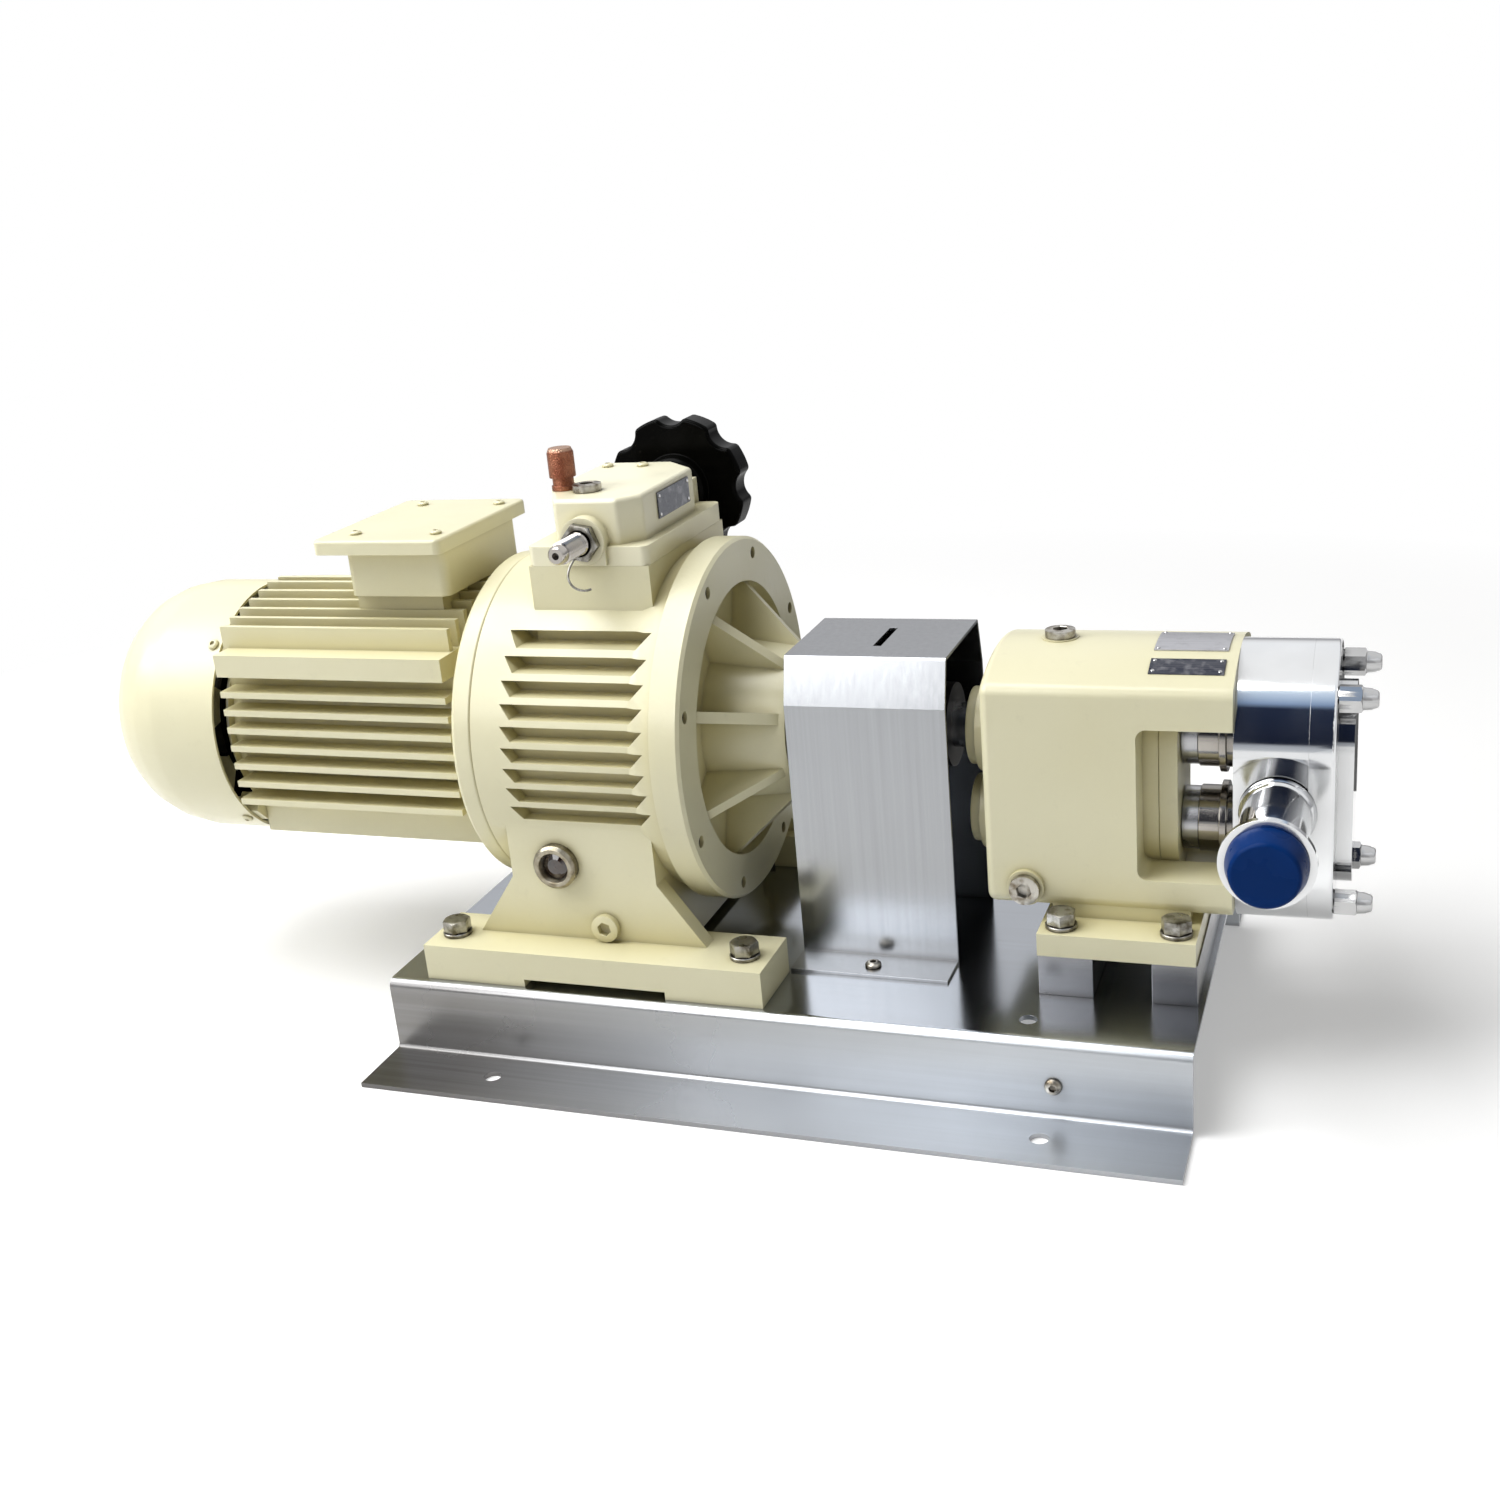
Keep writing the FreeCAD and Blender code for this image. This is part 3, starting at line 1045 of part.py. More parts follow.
def add_port(owner, side):
    """Neck, weld bead, tube and ferrule, turned round the port's axis on one side."""
    start, face = D["casing_r"] + D["loose_gap"], D["port_face_y"]
    tube_r, rim = D["port_tube_r"], D["ferrule_r"]
    neck = D["port_inner"] + 2.3
    bead = [(start, tube_r + 2.2), (start + 2.5, tube_r + 1.8), (start + 4.5, tube_r + 0.6), (start + 5.5, tube_r)]
    at_rim = [(face - 6.5, tube_r), (face - 4.4, rim), (face, rim), (face, 8.0)]
    outline = [(start - 4, 8.0), (start - 4, neck), (start, neck)] + bead + at_rim
    placed = [(D["port_x"] + r, side * y) for y, r in outline]
    turned_about(owner, "Revolution", "XY", PORT_Z, placed, (D["port_x"], -10.0), (D["port_x"], 10.0))


def front_cover():
    made = body("front_cover")
    low, high, top = D["casing_front_x"], D["cover_front_x"], D["cover_boss_x"]
    slab = add(made, "YZ", low, high, stadium(D["casing_r"]))
    round_edges(made, slab, 2.0, lambda point, edge: abs(point.x - high.value) < 0.1)
    add(made, "YZ", high - 1, top, stadium(D["cover_boss_r"]))
    for height in (DRIVE_Z, DRIVEN_Z):
        cut(made, "YZ", low - 1, low + 14, circles([(0, height)], 15.0))
    ring_in, ring_out = D["rotor_r"] + 2.2, D["rotor_r"] + 5.8
    cut(made, "YZ", low - 1, low + 2.2, stadium(ring_out, ring_in))
    cut(made, "YZ", low - 1, high + 1, circles(stud_spots(), D["stud_r"] + 0.4))

    ring = body("cover_seal")
    add(ring, "YZ", low, low + 2.1, stadium(ring_out - D["loose_gap"], ring_in + D["loose_gap"]))


def cover_fasteners():
    studs = body("cover_studs")
    low, seat = D["casing_front_x"] - 16, D["cover_front_x"]
    add(studs, "YZ", low, seat + 7, circles(stud_spots(), D["stud_r"]))

    made = body("cover_nuts")
    flats = D["cover_nut_flats"]
    add(made, "YZ", seat, seat + 12.5, hexagons(stud_spots(), flats))
    add(made, "YZ", seat + 12.5, seat + 17.5, circles(stud_spots(), flats - 0.7))
    add(made, "YZ", seat + 17.5, seat + 21, circles(stud_spots(), flats - 1.9))
    cut(made, "YZ", seat - 1, seat + 7.2, circles(stud_spots(), D["stud_r"] + D["seat_gap"]))


def shafts():
    """Both pump shafts share one outline from the bearings on; the upper one reaches the coupling."""
    r, nose = D["pump_shaft_r"], D["rotor_shaft_r"]
    end = D["casing_front_x"] + 6
    rotor_low = D["casing_wall_x"] + D["side_gap"]
    collar, seal, step = D["plate_front_x"] + 0.7, D["seal_x"] - D["side_gap"], D["body_front_x"] - 3
    tail = [(collar, r), (collar, 19.0), (seal, 19.0), (seal, 12.5), (step, 12.5), (step, nose + 1),
            (rotor_low, nose + 1), (rotor_low, nose), (end, nose), (end, 0)]
    rear, bearing = D["jaw_front_x"] + 1, D["body_rear_x"] - 2
    drive = body("drive_shaft", z=DRIVE_Z)
    turned(drive, [(rear, 0), (rear, r - 1), (bearing, r - 1), (bearing, r)] + tail)
    driven = body("driven_shaft", z=DRIVEN_Z)
    turned(driven, [(bearing - 2, 0), (bearing - 2, r - 2), (bearing, r)] + tail)
    for name, height in (("drive_rotor_nut", DRIVE_Z), ("driven_rotor_nut", DRIVEN_Z)):
        nut = body(name, z=height)
        seat = D["casing_front_x"] - D["side_gap"]
        add(nut, "YZ", seat, seat + 4, circles([(0, 0)], 13.0))
        add(nut, "YZ", seat + 4, seat + 11, hexagons([(0, 0)], 10.5))
        cut(nut, "YZ", seat - 1, end + 0.4, circles([(0, 0)], nose + D["seat_gap"]))


def closed_face(points):
    curve = Part.BSplineCurve()
    curve.interpolate(Points=points, PeriodicFlag=True)
    return Part.Face(Part.Wire(curve.toShape()))


def lobe_points(pitch, lobes, relief, steps):
    """Cycloid outline of a rotor: epicycloid tips and hypocycloid roots on the pitch circle.

    The rolling circle is the pitch circle's radius over twice the lobe count, so tips and
    roots are conjugate and the pair turns one to one. relief moves the outline inwards.
    """
    roll = pitch / (2 * lobes)
    arc = math.pi / lobes
    raw = []
    for piece in range(2 * lobes):
        outward = 1 if piece % 2 == 0 else -1
        start = piece * arc
        centre = pitch + outward * roll
        for index in range(steps):
            turn = arc * index / steps
            spin = start + outward * centre / roll * turn
            raw.append((centre * math.cos(start + turn) - outward * roll * math.cos(spin),
                        centre * math.sin(start + turn) - outward * roll * math.sin(spin)))
    points = []
    for index, (a, b) in enumerate(raw):
        c, d = raw[index - 1], raw[(index + 1) % len(raw)]
        run = math.hypot(d[0] - c[0], d[1] - c[1])
        points.append(FreeCAD.Vector(0, a - relief * (d[1] - c[1]) / run, b + relief * (d[0] - c[0]) / run))
    return points


def gear_points(teeth, pitch, relief):
    """Involute spur teeth of 20 degrees pressure angle, thinned by relief on each flank."""
    module = 2 * pitch / teeth
    base = pitch * math.cos(math.radians(20))
    lowest, tip = pitch - 1.25 * module, pitch + module

    def half_angle(radius):
        lean = math.acos(min(1.0, base / radius))
        at_pitch = math.tan(math.radians(20)) - math.radians(20)
        return math.pi / (2 * teeth) - relief / pitch + at_pitch - (math.tan(lean) - lean)

    radii = [base + (tip - base) * share / 4 for share in range(5)]
    flank = [(lowest, half_angle(base))] + [(r, half_angle(r)) for r in radii]
    points = []
    for tooth in range(teeth):
        middle = 2 * math.pi * tooth / teeth
        points += [(r, middle - half) for r, half in flank]
        points += [(r, middle + half) for r, half in reversed(flank)]
    outline = [FreeCAD.Vector(0, r * math.cos(a), r * math.sin(a)) for r, a in points]
    return outline + outline[:1]


def extruded_part(name, face, low, high, height, bore, turn):
    """A rotor or gear from a closed outline, bored and turned to its place in mesh."""
    length = high.value - low.value
    solid = face.extrude(FreeCAD.Vector(length, 0, 0))
    hole = Part.makeCylinder(bore.value, length + 2, FreeCAD.Vector(-1, 0, 0), FreeCAD.Vector(1, 0, 0))
    made = doc.addObject("Part::Feature", name)
    made.Label = name
    made.Shape = solid.cut(hole)
    spin = FreeCAD.Rotation(FreeCAD.Vector(1, 0, 0), turn)
    made.Placement = FreeCAD.Placement(FreeCAD.Vector(low.value, 0, height.value), spin)
    parts.append(made)


def rotors_and_gears():
    """The upper pair points a lobe and a tooth down into a valley and a gap of the lower pair."""
    pitch = D["shaft_spacing"].value / 2
    low, high = D["casing_wall_x"] + D["side_gap"], D["casing_front_x"] - D["side_gap"]
    bore = D["rotor_shaft_r"] + D["seat_gap"]
    face = closed_face(lobe_points(pitch, 3, D["rotor_relief"].value, 14))
    extruded_part("drive_rotor", face, low, high, DRIVE_Z, bore, -120.0)
    extruded_part("driven_rotor", face, low, high, DRIVEN_Z, bore, 0.0)
    teeth = int(D["gear_teeth"].value)
    face = Part.Face(Part.makePolygon(gear_points(teeth, pitch, D["gear_relief"].value)))
    bore = D["pump_shaft_r"] + D["seat_gap"]
    low, high, half_step = D["gear_rear_x"], D["gear_front_x"], 180.0 / teeth
    extruded_part("drive_gear", face, low, high, DRIVE_Z, bore, -90.0)
    extruded_part("driven_gear", face, low, high, DRIVEN_Z, bore, 90.0 + half_step)


def port_caps():
    """Push-in protection caps for the two ports."""
    for name, side, turn in (("port_cap_front", -1, TO_MINUS_Y), ("port_cap_rear", 1, TO_Y)):
        made = body(name, x=D["port_x"], y=side * D["port_face_y"], z=PORT_Z, turn=turn)
        plug = D["port_bore"] - 0.1
        turned(made, [(-12, plug - 2), (-12, plug - 0.4), (-10, plug), (0, plug), (0, 21.4), (2.5, 21.4),
                      (12.5, 19.0), (14.5, 18.3), (15.5, 17.0), (15.5, 0), (13, 0), (13, plug - 2)])


def blank_plates():
    """Bare rating plates: two bent over the pump's crowned top, one on the control box."""
    made = body("blank_plates")
    top, crown, low, high = D["body_top"], D["body_crown"], D["label_rear_x"], D["label_front_x"]
    ring = [(low, top), (high, top), (high, top + 0.8), (low, top + 0.8)]
    turned_about(made, "Revolution", "XZ", 0.0, ring, (low, top - crown), (high, top - crown))
    wide = crown + 2
    cut_box(made, (low - 1, -wide, top - 2 * wide), (high + 1, wide, top - 19))
    for left, right in ((-wide, -43.0), (-28.0, -17.0), (19.0, wide)):
        cut_box(made, (low - 1, left, top - 20), (high + 1, right, top + 2))
    face = D["control_face_x"]
    add(made, "YZ", face, face + 1, boxes(((-24.0, 326.0), (26.0, 342.0))))


BUILD_ORDER = (
    base_plate, riser_bars, coupling_guard, base_screws,
    motor_frame, motor_end_shields, fan_cowl, stator, motor_inside, cooling_fan,
    terminal_box, small_screws, box_inside,
    variator_housing, input_flange, output_cover, planetary_drive, rolling_bearings,
    control_box, control_parts, handwheel, breather_and_sight, oil_plugs,
    coupling, pump_housing, pump_covers, rotor_casing, front_cover, cover_fasteners,
    shafts, rotors_and_gears, port_caps, blank_plates,
)
for step in BUILD_ORDER:
    step()
bolts("variator_foot_bolts", FOOT_SPOTS, D["foot_top"], 30.0)
bolts("pump_foot_bolts", PUMP_SPOTS, D["pump_foot_top"], 46.0)
doc.recompute()

bad = [thing.Label for thing in doc.Objects if "Invalid" in thing.State or "Error" in thing.State]
bad += [thing.Label for thing in parts if thing.Shape.isNull() or not thing.Shape.isValid()]
if bad:
    raise RuntimeError("not sound: " + ", ".join(bad))
os.makedirs("parts", exist_ok=True)
for thing in parts:
    thing.Shape.exportStep(f"parts/{thing.Label}.step")
    print(thing.Label, len(thing.Shape.Solids), round(thing.Shape.Volume / 1000, 1))
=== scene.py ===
"""Looks of the lobe pump unit: materials, small detailed pieces, floor, light and camera.

All lengths are in metres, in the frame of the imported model. X runs along the main shaft from
the motor to the pump, Z is up and the base stands on Z = 0.
"""
import math

import bmesh
import bpy
from mathutils import Matrix, Vector


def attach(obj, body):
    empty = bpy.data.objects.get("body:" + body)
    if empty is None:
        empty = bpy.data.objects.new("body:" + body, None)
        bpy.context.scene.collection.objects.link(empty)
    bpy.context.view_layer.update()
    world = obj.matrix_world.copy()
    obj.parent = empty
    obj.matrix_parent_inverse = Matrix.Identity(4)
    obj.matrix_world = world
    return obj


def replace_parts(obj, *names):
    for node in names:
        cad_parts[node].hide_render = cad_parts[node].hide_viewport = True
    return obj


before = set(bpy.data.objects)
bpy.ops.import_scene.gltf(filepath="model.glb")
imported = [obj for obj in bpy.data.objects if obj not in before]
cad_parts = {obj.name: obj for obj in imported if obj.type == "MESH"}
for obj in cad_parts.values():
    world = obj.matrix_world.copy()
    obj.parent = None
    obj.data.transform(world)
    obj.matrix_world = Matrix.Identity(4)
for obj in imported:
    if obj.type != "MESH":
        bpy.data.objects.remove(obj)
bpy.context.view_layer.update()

STATIC = "unit_frame"
MM = 0.001

# Camera, found from the photograph
CAMERA_SPOT = (0.353683, -0.991046, 0.544150)
CAMERA_YAW = 21.75925
CAMERA_PITCH = -19.42830
CAMERA_ROLL = -5.39267
CAMERA_LENS = 41.936
CAMERA_SENSOR = 36.0

MIDDLE = (-0.07, 0.0, 0.18)
GUARD_FRONT = (0.0, -0.06, 0.25)

# Lamps: name, place, what it shines at, power in watts, width and height
LAMPS = (
    ("key", (-2.1, -0.8, 1.7), MIDDLE, 37.0, 1.3, 1.3),
    ("top", (-0.75, -0.35, 2.3), MIDDLE, 46.0, 1.5, 1.5),
    ("fill", (1.9, -1.1, 1.0), MIDDLE, 1.5, 1.2, 1.6),
    ("window", (-0.75, -1.75, 1.35), GUARD_FRONT, 24.0, 1.05, 1.5),
)

BLACK, WHITE = (0.0, 0.0, 0.0), (1.0, 1.0, 1.0)

# The room that shiny surfaces mirror: colours by how steeply a ray climbs, 0 level and 1 upright
DARK_FRONT = (
    (0.0, (0.55, 0.57, 0.60)), (0.10, (0.40, 0.42, 0.46)), (0.14, (0.010, 0.014, 0.030)),
    (0.76, (0.014, 0.022, 0.050)), (0.82, (0.26, 0.36, 0.54)), (0.93, (0.62, 0.74, 0.90)), (0.975, WHITE),
)
PALE_FRONT = ((0.0, (0.50, 0.50, 0.50)), (0.30, (0.50, 0.50, 0.51)), (0.60, (0.85, 0.87, 0.90)), (1.0, WHITE))
REAR = (
    (0.0, (0.30, 0.30, 0.31)), (0.18, (0.50, 0.50, 0.52)), (0.28, (0.84, 0.84, 0.85)),
    (0.42, (0.97, 0.98, 1.0)), (1.0, WHITE),
)

# Where the front of the room is dark: black stops, from 0 at the far left to 1 at the far right
DARK_GAP = ((0.0, WHITE), (0.40, WHITE), (0.425, BLACK), (0.60, BLACK), (0.72, WHITE))

# Light of the room on matt faces
LEFT_LIGHT, RIGHT_LIGHT = (0.31, 0.31, 0.31), (0.13, 0.125, 0.11)

# The ground glows by FLOOR_LIFT and fades to plain white between two distances from the middle
FLOOR_LIFT = 0.30
FADE_START, FADE_END = 0.70, 1.35
FLOOR_REACH = 14.0
FLOOR_LEVEL = -0.0002

# Paint colours
CREAM = (0.80, 0.765, 0.535)
CREAM_SHADE = (0.77, 0.73, 0.49)
# Painted shade: olive mixed into deep corners and fin gaps
PAINTED_SHADE_CREAM = (0.50, 0.43, 0.17)
# Dust colour, also used for painted shade in tight corners
DUST_AND_PAINTED_SHADE = (0.10, 0.075, 0.03)

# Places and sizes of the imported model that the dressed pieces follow
SHAFT_Z = 0.190
COWL_R = 0.0882
SPINDLE_SPOT = (-0.111, 0.0, 0.322)
SPINDLE_R = 0.007
BREATHER_TOP = 0.372
PLATE_TOP = 0.2463
CROWN_R = 0.1358

# Points this near are joined, and faces fewer degrees apart than SAME_PLANE become one
SAME_SPOT = 1e-6
SAME_PLANE = 0.3

# Rounded corners: their steps, how far large faces rule the shading, and the flattest corner in degrees
CORNER_STEPS = 2
LARGE_FACE_WEIGHT = 80
FLATTEST_CORNER = 28.0


# Materials

class Look:
    """A material and short calls to build its nodes."""

    def __init__(self, name):
        self.material = bpy.data.materials.new(name)
        self.material.use_nodes = True
        self.nodes = self.material.node_tree.nodes
        self.links = self.material.node_tree.links
        self.shader = self.nodes["Principled BSDF"]
        self.place = self.node("TexCoord").outputs["Object"]

    def node(self, kind, inputs=None, **settings):
        made = self.nodes.new("ShaderNode" + kind)
        for key, value in settings.items():
            setattr(made, key, value)
        for key, value in (inputs or {}).items():
            self.feed(made.inputs[key], value)
        return made

    def feed(self, socket, value):
        if isinstance(value, bpy.types.NodeSocket):
            self.links.new(value, socket)
        elif socket.type == "RGBA":
            socket.default_value = (*value, 1.0)
        else:
            socket.default_value = value

    def stretched(self, x, y, z):
        return self.node("Mapping", {"Vector": self.place, "Scale": (x, y, z)}).outputs["Vector"]

    def noise(self, scale, detail=3.0, place=None, roughness=0.5):
        inputs = {"Vector": place or self.place, "Scale": scale, "Detail": detail, "Roughness": roughness}
        return self.node("TexNoise", inputs).outputs["Fac"]

    def spread(self, value, low, high, bottom=0.0, top=1.0):
        """Map the range low to high of a value onto bottom to top."""
        inputs = {"Value": value, "From Min": low, "From Max": high, "To Min": bottom, "To Max": top}
        return self.node("MapRange", inputs).outputs["Result"]

    def mixed(self, factor, first, second):
        made = self.node("Mix", data_type="RGBA")
        for index, value in ((0, factor), (6, first), (7, second)):
            self.feed(made.inputs[index], value)
        return made.outputs[2]

    def times(self, first, second):
        return self.node("Math", {0: first, 1: second}, operation="MULTIPLY").outputs[0]

    def painted_corner_shade(self, distance):
        """0 in the open and 1 deep in a corner, from ambient occlusion; colour mixed by it is painted shade.
        """
        inputs = {"Distance": distance}
        open_share = self.node("AmbientOcclusion", inputs, samples=6).outputs["AO"]
        return self.spread(open_share, 0.35, 0.95, 1.0, 0.0)

    def bumps(self, *layers):
        """Each layer is (height, distance in metres, strength)."""
        normal = None
        for height, distance, strength in layers:
            made = self.node("Bump", {"Height": height, "Distance": distance, "Strength": strength})
            if normal:
                self.links.new(normal, made.inputs["Normal"])
            normal = made.outputs["Normal"]
        self.links.new(normal, self.shader.inputs["Normal"])

    def surface(self, **values):
        for key, value in values.items():
            self.feed(self.shader.inputs[key.replace("_", " ")], value)
        return self.material


def paint(name, cast_height, colour=CREAM, shade=CREAM_SHADE):
    """Cream enamel. cast_height is the depth of the casting's skin under it, in metres. Deep corners and fin
    gaps get a painted olive shade, and tight corners a painted darker shade.
    """
    look = Look(name)
    blotches = look.noise(9.0, 4.0)
    skin = look.noise(190.0, 4.0)
    peel = look.noise(900.0, 2.0)
    dust = look.spread(look.noise(85.0, 6.0, roughness=0.7), 0.60, 0.78)
    colour = look.mixed(look.spread(blotches, 0.35, 0.7), colour, shade)
    # Painted shade: ambient occlusion turns deep corners and fin gaps olive
    colour = look.mixed(look.times(look.painted_corner_shade(0.035), 0.60), colour, PAINTED_SHADE_CREAM)
    # Painted shade in tight corners; the line after this adds real dust in the same colour
    colour = look.mixed(look.times(look.painted_corner_shade(0.004), 0.30), colour, DUST_AND_PAINTED_SHADE)
    colour = look.mixed(look.times(dust, 0.07), colour, DUST_AND_PAINTED_SHADE)
    look.bumps((skin, cast_height, 0.45), (peel, 0.00004, 0.4))
    roughness = look.spread(look.noise(35.0, 5.0), 0.3, 0.75, 0.30, 0.44)
    return look.surface(Base_Color=colour, Roughness=roughness, Coat_Weight=0.20, Coat_Roughness=0.15)


def brushed(name, colour, low, high, grain=(3.0, 260.0, 260.0)):
    """Steel with fine lines along X, and painted shade in its corners. low and high limit the roughness."""
    look = Look(name)
    lines = look.noise(1.0, 6.0, look.stretched(*grain), 0.65)
    smears = look.noise(9.0, 5.0)
    darker = tuple(channel * 0.88 for channel in colour)
    tone = look.mixed(look.spread(lines, 0.3, 0.7), darker, colour)
    tone = look.mixed(look.times(look.spread(smears, 0.5, 0.8), 0.25), tone, darker)
    # Painted shade in the corners
    tone = look.mixed(look.times(look.painted_corner_shade(0.006), 0.5), tone, (0.10, 0.09, 0.08))
    look.bumps((lines, 0.00003, 0.25))
    roughness = look.spread(smears, 0.3, 0.7, low, high)
    return look.surface(Base_Color=tone, Metallic=1.0, Roughness=roughness)


def base_steel():
    """Stainless sheet: mirror-like on the top face and satin on webs and flanges, with painted reflection
    that makes webs and flanges darker to the left and flanges darker than webs, and painted shade in corners.
    """
    look = Look("base_stainless")
    lines = look.noise(1.0, 6.0, look.stretched(3.0, 240.0, 240.0), 0.65)
    smears = look.noise(7.0, 5.0)
    height = look.node("SeparateXYZ", {"Vector": look.place}).outputs["Z"]
    on_top = look.spread(height, 0.0500, 0.0508)
    length = look.node("SeparateXYZ", {"Vector": look.place}).outputs["X"]
    # Painted reflection: webs and flanges go from dark at the left to light at the right, and flanges are
    # darker than webs
    along = look.spread(length, -0.20, 0.15)
    tone = look.mixed(along, (0.21, 0.205, 0.20), (0.50, 0.525, 0.55))
    flange_painted_shade_tone = look.mixed(along, (0.12, 0.118, 0.115), (0.46, 0.48, 0.51))
    tone = look.mixed(look.spread(height, 0.0035, 0.006), flange_painted_shade_tone, tone)
    tone = look.mixed(on_top, tone, (0.40, 0.42, 0.45))
    tone = look.mixed(look.times(look.spread(lines, 0.35, 0.7), 0.25), tone, (0.34, 0.34, 0.35))
    # Painted shade in the corners
    tone = look.mixed(look.times(look.painted_corner_shade(0.008), 0.45), tone, (0.12, 0.11, 0.10))
    satin = look.spread(smears, 0.3, 0.7, 0.24, 0.36)
    polished = look.spread(smears, 0.3, 0.7, 0.12, 0.20)
    turn = look.node("Mix", {0: on_top, 2: satin, 3: polished}, data_type="FLOAT").outputs[0]
    look.bumps((lines, 0.00006, 0.30))
    return look.surface(Base_Color=tone, Metallic=1.0, Roughness=turn)


def polished_steel(name, colour=(0.86, 0.87, 0.88), low=0.05, high=0.14, depth=0.005):
    """Steel polished to a mirror. depth is how far painted shade reaches from its corners, in metres."""
    look = Look(name)
    scratches = look.noise(1.0, 5.0, look.stretched(900.0, 40.0, 900.0), 0.7)
    cloud = look.noise(22.0, 4.0)
    tone = look.mixed(look.spread(cloud, 0.3, 0.7), colour, tuple(channel * 0.9 for channel in colour))
    # Painted shade in the corners
    tone = look.mixed(look.times(look.painted_corner_shade(depth), 0.55), tone, (0.05, 0.045, 0.04))
    look.bumps((scratches, 0.00002, 0.3), (cloud, 0.0002, 0.05))
    return look.surface(Base_Color=tone, Metallic=1.0, Roughness=look.spread(cloud, 0.3, 0.7, low, high))


def zinc_steel(name="zinc_steel", colour=(0.50, 0.48, 0.43), stain=(0.16, 0.13, 0.09)):
    look = Look(name)
    patches = look.noise(160.0, 4.0)
    tone = look.mixed(look.spread(patches, 0.42, 0.66), colour, stain)
    # Painted shade in the corners and sockets
    tone = look.mixed(look.times(look.painted_corner_shade(0.004), 0.8), tone, (0.04, 0.03, 0.02))
    look.bumps((look.noise(700.0, 3.0), 0.00005, 0.4))
    roughness = look.spread(look.noise(90.0, 4.0), 0.3, 0.7, 0.22, 0.42)
    return look.surface(Base_Color=tone, Metallic=1.0, Roughness=roughness)


def moulded(name, colour, low, high, grain=900.0, height=0.00005, shine=0.5):
    """Plastic or rubber with a fine moulded grain. shine is the strength of its reflections."""
    look = Look(name)
    look.shader.inputs["Specular IOR Level"].default_value = shine
    haze = look.spread(look.noise(40.0, 4.0), 0.4, 0.75)
    lighter = tuple(min(1.0, channel * 1.25 + 0.001) for channel in colour)
    tone = look.mixed(haze, colour, lighter)
    dust = look.spread(look.noise(240.0, 5.0), 0.66, 0.80)
    tone = look.mixed(look.times(dust, 0.04), tone, (0.30, 0.28, 0.24))
    look.bumps((look.noise(grain, 3.0), height, 0.5))
    return look.surface(Base_Color=tone, Roughness=look.spread(haze, 0.0, 1.0, low, high))


def bronze():
    """Sintered bronze grains of the breather, with a painted highlight on its top."""
    look = Look("sintered_bronze")
    grains = look.node("TexVoronoi", {"Vector": look.place, "Scale": 900.0}).outputs["Distance"]
    patches = look.noise(120.0, 4.0)
    tone = look.mixed(look.spread(patches, 0.4, 0.65), (0.20, 0.060, 0.030), (0.34, 0.135, 0.075))
    height = look.node("SeparateXYZ", {"Vector": look.place}).outputs["Z"]
    # Painted highlight: the top face and the rim below it are lighter
    top = look.spread(height, BREATHER_TOP - 2.2 * MM, BREATHER_TOP - 1.2 * MM)
    tone = look.mixed(top, tone, (0.42, 0.26, 0.18))
    look.bumps((grains, 0.0005, 0.8))
    roughness = look.spread(patches, 0.3, 0.7, 0.30, 0.45)
    return look.surface(Base_Color=tone, Metallic=0.75, Roughness=roughness)


def oil_glass():
    look = Look("oil_glass")
    swirl = look.noise(55.0, 3.0)
    tone = look.mixed(look.spread(swirl, 0.35, 0.65), (0.020, 0.010, 0.006), (0.060, 0.030, 0.014))
    look.bumps((look.noise(60.0, 1.0), 0.0003, 0.15))
    return look.surface(Base_Color=tone, Roughness=look.spread(swirl, 0.3, 0.7, 0.03, 0.07), Coat_Weight=1.0)


def plate_metal():
    """Bare rating plates: a silver and a navy one on the pump, a slate one on the control box."""
    look = Look("bare_plates")
    lines = look.noise(1.0, 5.0, look.stretched(6.0, 900.0, 900.0), 0.6)
    place = look.node("SeparateXYZ", {"Vector": look.place})
    on_side = look.spread(place.outputs["Y"], -0.026, -0.024, 1.0, 0.0)
    on_box = look.spread(place.outputs["X"], 0.001, 0.0, 0.0, 1.0)
    field = look.mixed(on_side, (0.50, 0.50, 0.53), (0.016, 0.020, 0.040))
    field = look.mixed(on_box, field, (0.060, 0.066, 0.085))
    wear = look.times(look.spread(look.noise(160.0, 5.0), 0.52, 0.72), 0.5)
    tone = look.mixed(wear, field, (0.34, 0.34, 0.36))
    tone = look.mixed(look.times(look.spread(lines, 0.3, 0.7), 0.25), tone, (0.30, 0.30, 0.31))
    look.bumps((lines, 0.00002, 0.3))
    return look.surface(Base_Color=tone, Metallic=0.8, Roughness=look.spread(lines, 0.3, 0.7, 0.25, 0.38))


# Mesh tools

def hexagon(flats):
    """Radius at an angle of a hexagon with this half width across its flats."""
    def radius(angle, along):
        return flats / math.cos((angle + math.pi / 6) % (math.pi / 3) - math.pi / 6)
    return radius


def chamfered(flats, top, cut):
    """Height at an angle of a nut's upper edge, where a cone of 30 degrees cuts the hexagon."""
    def height(angle):
        past = hexagon(flats)(angle, 0.0) - cut
        return top - max(0.0, past) * math.tan(math.radians(30))
    return height


